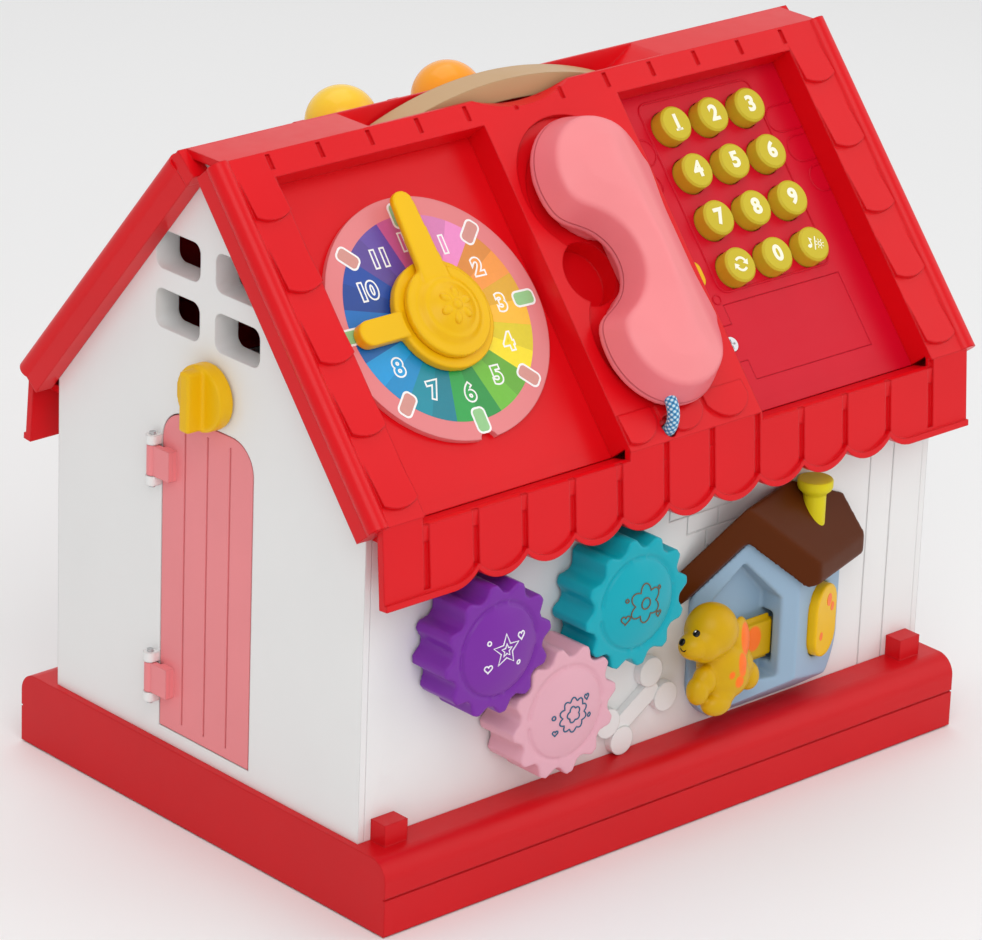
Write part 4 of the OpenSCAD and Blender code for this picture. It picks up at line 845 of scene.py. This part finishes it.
# Keypad face: raised border, side lines, small ring and the labels on the keys.
# Places are x from the key columns' middle and s down the slope. A side line is its s and its length.
BORDER = (60, 80.1, 4)
BORDER_S = 53.75
SIDE_LINES = [(32.7, 15.5), (46.4, 11.5), (60.1, 7.4)]
SIDE_END = 46.0
SIDE_R = 5.5
SWITCH_FROM = 60
RING_AT = (-33.2, 95.7)
RING_R = 1.9
BORDER_LINE = 0.5
SIDE_LINE = 0.4
RING_LINE = 0.35
LINE_OUT = 0.02
SLOT = (9.4, 20, 4.2)
SLOT_AT = (44.5, 87.85)
SLOT_DEEP = 5.3
SLOT_T = 0.5
LABEL_SIZE = 8.8
LABEL_WEIGHT = 0.36
LABEL_T = 0.12
ARROW_R = (2.1, 2.6, 3.1)
ARROW_HEAD = (1.0, 1.9, 4.2)


def on_panel(points):
    """Points of the panel face, in metres."""
    return [on_slope(KEY_X + x, s, PANEL_FACE + LINE_OUT) for x, s in points]


border = [on_panel([(x, BORDER_S - y) for x, y in round_rect(*BORDER)])]
side_lines = []
for side in (-1, 1):
    for s, length in SIDE_LINES:
        if side < 0 and s > SWITCH_FROM:
            continue
        points = [(side * SIDE_END, s - SIDE_R)]
        for i in range(9):
            angle = math.pi / 2 - math.pi * i / 8
            x = SIDE_END - length + SIDE_R - SIDE_R * math.cos(angle)
            points.append((side * x, s - SIDE_R * math.sin(angle)))
        points.append((side * SIDE_END, s + SIDE_R))
        side_lines.append(on_panel(points))
ring = [on_panel([(RING_AT[0] + x, RING_AT[1] + y) for x, y in circle(RING_R, 24)])]
panel_lines = joined("panel_lines", [wire("border", border, BORDER_LINE, True),
                                     wire("side_lines", side_lines, SIDE_LINE),
                                     wire("ring", ring, RING_LINE, True)])
add_piece("keypad_lines", panel_lines, LOOKS["panel_red"], "house")

slot_floor = plate("slot_floor", round_rect(*SLOT), SLOT_T)
slot_olive = plastic("slot_olive", srgb(150, 122, 34), rough=0.5)
slot_frame = slope_frame(*SLOT_AT, PANEL_FACE - SLOT_DEEP)
add_piece("switch_slot_floor", slot_floor, slot_olive, "house", slot_frame)

label_ink = ink("label_ink", srgb(252, 250, 226))


def arrows():
    """Two arrows that chase each other round a ring."""
    shapes = []
    for k in (0, 180):
        angles = [math.radians(k + 20 + 115 * i / 12) for i in range(13)]
        outer = [(ARROW_R[2] * math.cos(a), ARROW_R[2] * math.sin(a)) for a in angles]
        inner = [(ARROW_R[0] * math.cos(a), ARROW_R[0] * math.sin(a)) for a in reversed(angles)]
        shapes.append(plate("arc", outer + inner, LABEL_T))
        near, long, far = ARROW_HEAD
        c, s = math.cos(angles[0]), math.sin(angles[0])
        tip = (ARROW_R[1] * c + long * s, ARROW_R[1] * s - long * c)
        shapes.append(plate("head", [(far * c, far * s), (near * c, near * s), tip], LABEL_T))
    return shapes


def note_and_sun():
    """A music note, a stroke and a small sun."""
    sun = (2.3, -0.7)
    stem = [(-1.6, -0.6), (-1.6, 1.8), (-0.9, 1.4), (-0.9, 2.1), (-2.1, 2.9), (-2.1, -0.6)]
    shapes = [plate("note_head", [(-2.9 + 1.0 * x, -0.6 + 0.75 * y) for x, y in circle(1, 20)], LABEL_T)]
    shapes.append(plate("note_stem", stem, LABEL_T))
    shapes.append(plate("stroke", [(-1.3, -2.6), (-0.8, -2.6), (1.5, 2.7), (1.0, 2.7)], LABEL_T))
    shapes.append(plate("sun", circle(1.0, 20, *sun), LABEL_T, circle(0.6, 20, *sun)))
    for k in range(8):
        spin = Matrix.Rotation(math.radians(45 * k), 4, "Z")
        ray = Matrix.Translation(Vector((*sun, 0)) * MM) @ spin @ Matrix.Translation((1.7 * MM, 0, 0))
        spoke = plate("ray", [(-0.4, -0.17), (0.4, -0.17), (0.4, 0.17), (-0.4, 0.17)], LABEL_T)
        spoke.transform(ray)
        shapes.append(spoke)
    return shapes


for index, key in enumerate(KEY_NAMES):
    column, row = index % 3, index // 3
    key_frame = slope_frame(KEY_X + (column - 1) * KEY_PITCH, KEY_S + row * KEY_ROW, KEY_TOP)
    if key == "key_repeat":
        label = joined("label", [painted(m, label_ink) for m in arrows()])
    elif key == "key_mode":
        label = joined("label", [painted(m, label_ink) for m in note_and_sun()])
    else:
        label = lettering(key[-1], LABEL_SIZE, LABEL_WEIGHT, LABEL_T)
        if key == "key_1":
            foot = plate("foot", [(-1.7, -3.2), (1.7, -3.2), (1.7, -2.3), (-1.7, -2.3)], LABEL_T)
            label = joined("label", [painted(label, label_ink), painted(foot, label_ink)])
    add_piece(key + "_label", label, label_ink, key, key_frame)

# Gears with eased edges and plain line motifs on their domes
for tone in GEARS:
    soft_node("gear_" + tone, "gear_" + tone, GEAR_LOOKS[tone], 0.6, 5)
DOME_SPHERE = 49.35
DOME_APEX = -112.4
MOTIF_LINE = 0.3
MOTIF_OUT = 0.05


def on_dome(tone, points):
    """Points drawn on a gear's dome, in metres."""
    cx, cz = GEARS[tone]
    placed = []
    for x, z in points:
        sag = DOME_SPHERE - math.sqrt(DOME_SPHERE ** 2 - x * x - z * z)
        placed.append(Vector((cx + x, DOME_APEX + sag - MOTIF_OUT, cz + z)) * MM)
    return placed


def lobed(x, z, r, wave, lobes):
    """A closed line with round lobes."""
    count = 72
    line = []
    for i in range(count):
        a = 2 * math.pi * i / count
        rr = r + wave * abs(math.sin(lobes * a / 2))
        line.append((x + rr * math.cos(a), z + rr * math.sin(a)))
    return line


def heart(x, z, size):
    count = 28
    line = []
    for i in range(count):
        t = 2 * math.pi * i / count
        rise = 13 * math.cos(t) - 5 * math.cos(2 * t) - 2 * math.cos(3 * t) - math.cos(4 * t)
        line.append((x + size * math.sin(t) ** 3, z + size / 16 * rise))
    return line


def star(x, z, r):
    """A star of five points."""
    line = []
    for i in range(10):
        a = math.pi / 2 + math.pi * i / 5
        rr = r if i % 2 == 0 else 0.45 * r
        line.append((x + rr * math.cos(a), z + rr * math.sin(a)))
    return line


MOTIFS = {
    "teal": (srgb(104, 82, 58), [lobed(1, 1, 5.2, 2.6, 6), circle(2.2, 24, 1, 1), heart(-8.4, -3.6, 2.0),
                                 heart(8.6, -5.2, 1.4), circle(0.7, 12, -8, 4), circle(0.7, 12, 8.4, 5.4)]),
    "pink": (srgb(30, 92, 124), [lobed(1, 0, 5.4, 1.6, 10), lobed(1, 0.4, 2.4, 0.9, 5),
                                 circle(0.8, 12, -8.4, 1), circle(0.8, 12, 9.6, -2.4),
                                 heart(-7.4, -5.4, 1.2), heart(8, 5.4, 1.2)]),
    "purple": (srgb(246, 244, 250), [star(0.5, 1, 6.4), star(0.5, 1, 2.6), heart(8.2, 4.8, 1.7),
                                     heart(-7.6, -4.6, 1.7), circle(0.8, 12, 7.2, -5.6),
                                     circle(0.8, 12, -7.4, 5.4)]),
}
for tone, (colour, lines) in MOTIFS.items():
    drawn = [wire("motif", [on_dome(tone, line)], MOTIF_LINE, True) for line in lines]
    add_piece("gear_%s_motif" % tone, joined("motif", drawn), ink("motif_" + tone, colour), "gear_" + tone)

# Dog house with eased edges. A rounded corner is x, z, radius and side.
KENNEL_CORNERS = [(70, 56.6, 26, 1), (38, 51.6, 21, -1)]
kennel = soft_node("doghouse_body", "house", "house_blue", 0.6, 8)
for x, z, r, side in KENNEL_CORNERS:
    for vert in kennel.data.vertices:
        across_it = (vert.co.x / MM - x) * side
        below = z - vert.co.z / MM
        reach = math.hypot(across_it, below)
        if across_it > 0 and below > 0 and reach > r:
            vert.co.x = (x + side * across_it * r / reach) * MM
            vert.co.z = (z - below * r / reach) * MM
soft_node("doghouse_roof", "house", "roof_brown", 0.7, 32)
CHIMNEY_AT = (75.8, -96.4)
CHIMNEY = [(0, 101), (4.5, 101), (4.5, 115.2), (5.4, 116.3), (6.5, 117.3), (7, 118.4), (7, 120.8), (6.6, 121.4),
           (0, 121.4)]
chimney = turned("chimney", CHIMNEY)
chimney.transform(Matrix.Translation(Vector((*CHIMNEY_AT, 0)) * MM))
chimney_piece = add_piece("chimney", chimney, LOOKS["chimney_lime"], "house")
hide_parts("doghouse_chimney")
soft_node("dog_button", "dog_button", "toy_yellow", 0.55, 8)
soft_node("latch_knob", "latch", "toy_yellow", 0.55, 8)

BUTTON = Vector((79, -99.64, 63))
BUTTON_OUT = Vector((0.3397, -0.9405, 0))
BUTTON_PROUD = 3.4
DOT_TALL = 1.25
button_side = Vector((0.9405, 0.3397, 0))
button_axes = Matrix((button_side, Vector((0, 0, 1)), BUTTON_OUT)).transposed().to_4x4()
button_frame = Matrix.Translation((BUTTON + BUTTON_OUT * BUTTON_PROUD) * MM) @ button_axes
BUTTON_DOTS = [(1.5, 8.2, 2.1), (4.6, 4.4, 1.5), (-4.6, -5.2, 1.4)]
dots = []
for x, z, r in BUTTON_DOTS:
    dots.append(plate("dot", [(x + r * a, z + DOT_TALL * r * b) for a, b in circle(1, 24)], LABEL_T))
dot_ink = ink("dot_ink", SPOT_ORANGE)
add_piece("button_dots", joined("dots", dots), dot_ink, "dog_button", button_frame)

# Puppy: one skin over swelling forms, an ear flap and the runner behind it, with printed spots.
# A form is its centre and its radii.
puppy = bmesh.new()
PUPPY_FORMS = [((13.2, -106, 77.8), (10.8, 10, 11.0)), ((8.4, -107.2, 74.8), (8.6, 8, 8.0)),
               ((3.0, -107.6, 74.8), (6.6, 5.9, 5.5)), ((19.6, -106.3, 62.5), (10.6, 9, 12)),
               ((20.6, -106.6, 57.5), (11.4, 8.8, 9.6)), ((27.5, -104.6, 59), (8.6, 7, 9)),
               ((4.6, -109, 56.2), (4.6, 4.4, 5.8)), ((8.6, -108.6, 59.5), (5, 4.6, 6)),
               ((13.6, -110.2, 49), (6.8, 5, 4.8)), ((17, -108.6, 52.5), (6.6, 6, 6)),
               ((35.2, -105, 53), (4.6, 4.8, 6)), ((30, -104.6, 56), (5, 4.6, 5))]
for centre, radii in PUPPY_FORMS:
    ellipsoid(puppy, centre, radii)
FLAP_AT = Vector((26.0, -109.6, 72.4))
FLAP_OUT = Vector((0.42, -0.9, 0.12)).normalized()
FLAP = (2.5, 6.2, 8.8)
flap_turn = FLAP_OUT.to_track_quat("X", "Z").to_matrix().to_4x4()
ellipsoid(puppy, FLAP_AT, FLAP, flap_turn)
RUNNER = ((25.2, -98.8, 52.8), (56, -93.8, 71.2))
RUNNER_EDGE = 2
RUNNER_ROOT = ((31, -97.5, 62), (6, 5, 8))
runner = bmesh.ops.create_cube(puppy, size=1)["verts"]
for vert in runner:
    spans = zip(*RUNNER, vert.co)
    vert.co = Vector([(low + high) / 2 + (high - low) * share for low, high, share in spans]) * MM
runner_edges = list({e for v in runner for e in v.link_edges})
bmesh.ops.bevel(puppy, geom=runner_edges, offset=RUNNER_EDGE * MM, segments=4, affect="EDGES")
ellipsoid(puppy, *RUNNER_ROOT)
puppy_mesh = softened("puppy", mesh_of(puppy, "puppy"), 0.5, 7)


def seen_at(tree, u, v):
    """Point and normal where a pixel of the photograph meets a surface."""
    ray = ((u - CENTRE[0]) / FOCAL * across - (v - CENTRE[1]) / FOCAL * upward + ahead).normalized()
    point, normal, _, _ = tree.ray_cast(eye * MM, ray)
    return point, normal


skin = BVHTree.FromPolygons([v.co for v in puppy_mesh.vertices], [p.vertices[:] for p in puppy_mesh.polygons])
# A spot is the pixel that shows it, its radius and how tall it is for its width
SPOTS = [((743.7, 664.6), 2.9, 1.7), ((732.5, 675.6), 1.3, 1.2), ((740.0, 682.0), 2.2, 1.1),
         ((753.6, 639.0), 4.0, 1.3)]
SPOT_BLUR = 0.6
FLAP_INSIDE = (4.3, 6.6)
spot = puppy_mesh.attributes.new("spot", "FLOAT", "POINT")


def colour_in(vert, amount):
    """Raises a vertex's share of the spot colour."""
    value = spot.data[vert.index]
    value.value = max(value.value, min(max(amount, 0), 1))


for (u, v), r, tall in SPOTS:
    centre, _ = seen_at(skin, u, v)
    for vert in puppy_mesh.vertices:
        away = vert.co - centre
        reach = math.sqrt(away.x ** 2 + away.y ** 2 + (away.z / tall) ** 2) / MM
        if reach < r + 1:
            colour_in(vert, (r - reach) / SPOT_BLUR + 0.5)
for vert in puppy_mesh.vertices:
    away = vert.co / MM - FLAP_AT
    out = away.dot(FLAP_OUT)
    flat = away - FLAP_OUT * out
    reach = math.sqrt((flat.x ** 2 + flat.y ** 2) / FLAP_INSIDE[0] ** 2 + flat.z ** 2 / FLAP_INSIDE[1] ** 2)
    if 0.4 < out < 4 and reach < 1.2:
        colour_in(vert, (1 - reach) * 8 + 0.5)


def puppy_material():
    graph = Graph("puppy_yellow_plastic")
    shade = graph.mix(graph.attribute("spot"), DOG_YELLOW, SPOT_ORANGE)
    return moulded(graph, shade, 0.36, 0.05, 0.4)


dog = add_piece("puppy", puppy_mesh, puppy_material(), "dog")
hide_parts("dog", "dog_runner")

gloss_black = plastic("gloss_black", srgb(20, 18, 18), rough=0.14, grain=0.0, edge=0.2)


def stud(name, u, v, size, material):
    """A small lens set on the puppy where a pixel shows it."""
    point, normal = seen_at(skin, u, v)
    bm = bmesh.new()
    turn = normal.to_track_quat("Z", "Y").to_matrix().to_4x4()
    ellipsoid(bm, point / MM, size, turn)
    mesh = mesh_of(bm, name)
    shade_smooth(mesh, 180)
    return painted(mesh, material)


def traced(pixels):
    """Points of the puppy's skin behind pixels of the photograph."""
    return [seen_at(skin, u, v)[0] for u, v in pixels]


SMILE_LINE = 0.22
SMILE = [(680.6, 648.0), (681.4, 649.9), (682.8, 651.2), (684.6, 651.6), (685.8, 650.4)]
# The glint on the eye is a painted highlight: a small white lens on the black eye
features = [stud("eye", 696.5, 633.5, (1.4, 1.95, 0.55), gloss_black),
            stud("glint", 695.8, 632.2, (0.45, 0.6, 0.75), white_print_and_painted_glint),
            stud("nose", 682.2, 642.2, (1.5, 1.5, 0.9), gloss_black),
            painted(wire("smile", [traced(SMILE)], SMILE_LINE), gloss_black)]
face = joined("puppy_face", features)
add_piece("puppy_face", face, None, "dog")

# Light and floor
FLOOR_SIZE = 12


def lamp(name, place, aim, size, power):
    """A square soft light, in metres and watts."""
    data = bpy.data.lights.new(name, "AREA")
    data.size = size
    data.energy = power
    made = bpy.data.objects.new(name, data)
    scene.collection.objects.link(made)
    made.location = place
    made.rotation_euler = (Vector(aim) - Vector(place)).to_track_quat("-Z", "Y").to_euler()


lamp("key_light", (-0.9, -1.3, 1.5), (0, 0, 0.15), 1.4, 14)
lamp("fill_light", (1.5, -1.1, 0.9), (0, 0, 0.15), 1.6, 6.5)
lamp("top_light", (0.1, 0.5, 1.9), (0, 0, 0.2), 1.6, 8)

# The world lights the object evenly; the camera and reflections see the backdrop's own tone
world = bpy.data.worlds.new("studio")
scene.world = world
world.use_nodes = True
tree = world.node_tree
sky = tree.nodes["Background"]
sky.inputs["Color"].default_value = (1, 1, 1, 1)
sky.inputs["Strength"].default_value = 0.58
seen = tree.nodes.new("ShaderNodeBackground")
seen.inputs["Color"].default_value = srgb(244, 244, 244)
rays = tree.nodes.new("ShaderNodeLightPath").outputs


def either(a, b):
    made = tree.nodes.new("ShaderNodeMath")
    made.operation = "MAXIMUM"
    tree.links.new(a, made.inputs[0])
    tree.links.new(b, made.inputs[1])
    return made.outputs[0]


direct = either(rays["Is Camera Ray"], either(rays["Is Glossy Ray"], rays["Is Transmission Ray"]))
chosen = tree.nodes.new("ShaderNodeMixShader")
for socket, source in zip(chosen.inputs, (direct, sky.outputs[0], seen.outputs[0])):
    tree.links.new(source, socket)
tree.links.new(chosen.outputs[0], tree.nodes["World Output"].inputs[0])

floor_mesh = bpy.data.meshes.new("floor")
half = FLOOR_SIZE / 2
floor_corners = [(-half, -half, 0), (half, -half, 0), (half, half, 0), (-half, half, 0)]
floor_mesh.from_pydata(floor_corners, [], [(0, 1, 2, 3)])
floor = loose("floor", floor_mesh)
floor_graph = Graph("floor_paper")
floor_graph.into("Base Color", floor_graph.mix(floor_graph.noise(3), srgb(244, 244, 244), srgb(248, 248, 248)))
floor_graph.into("Roughness", 0.8)
floor_mesh.materials.append(floor_graph.material)
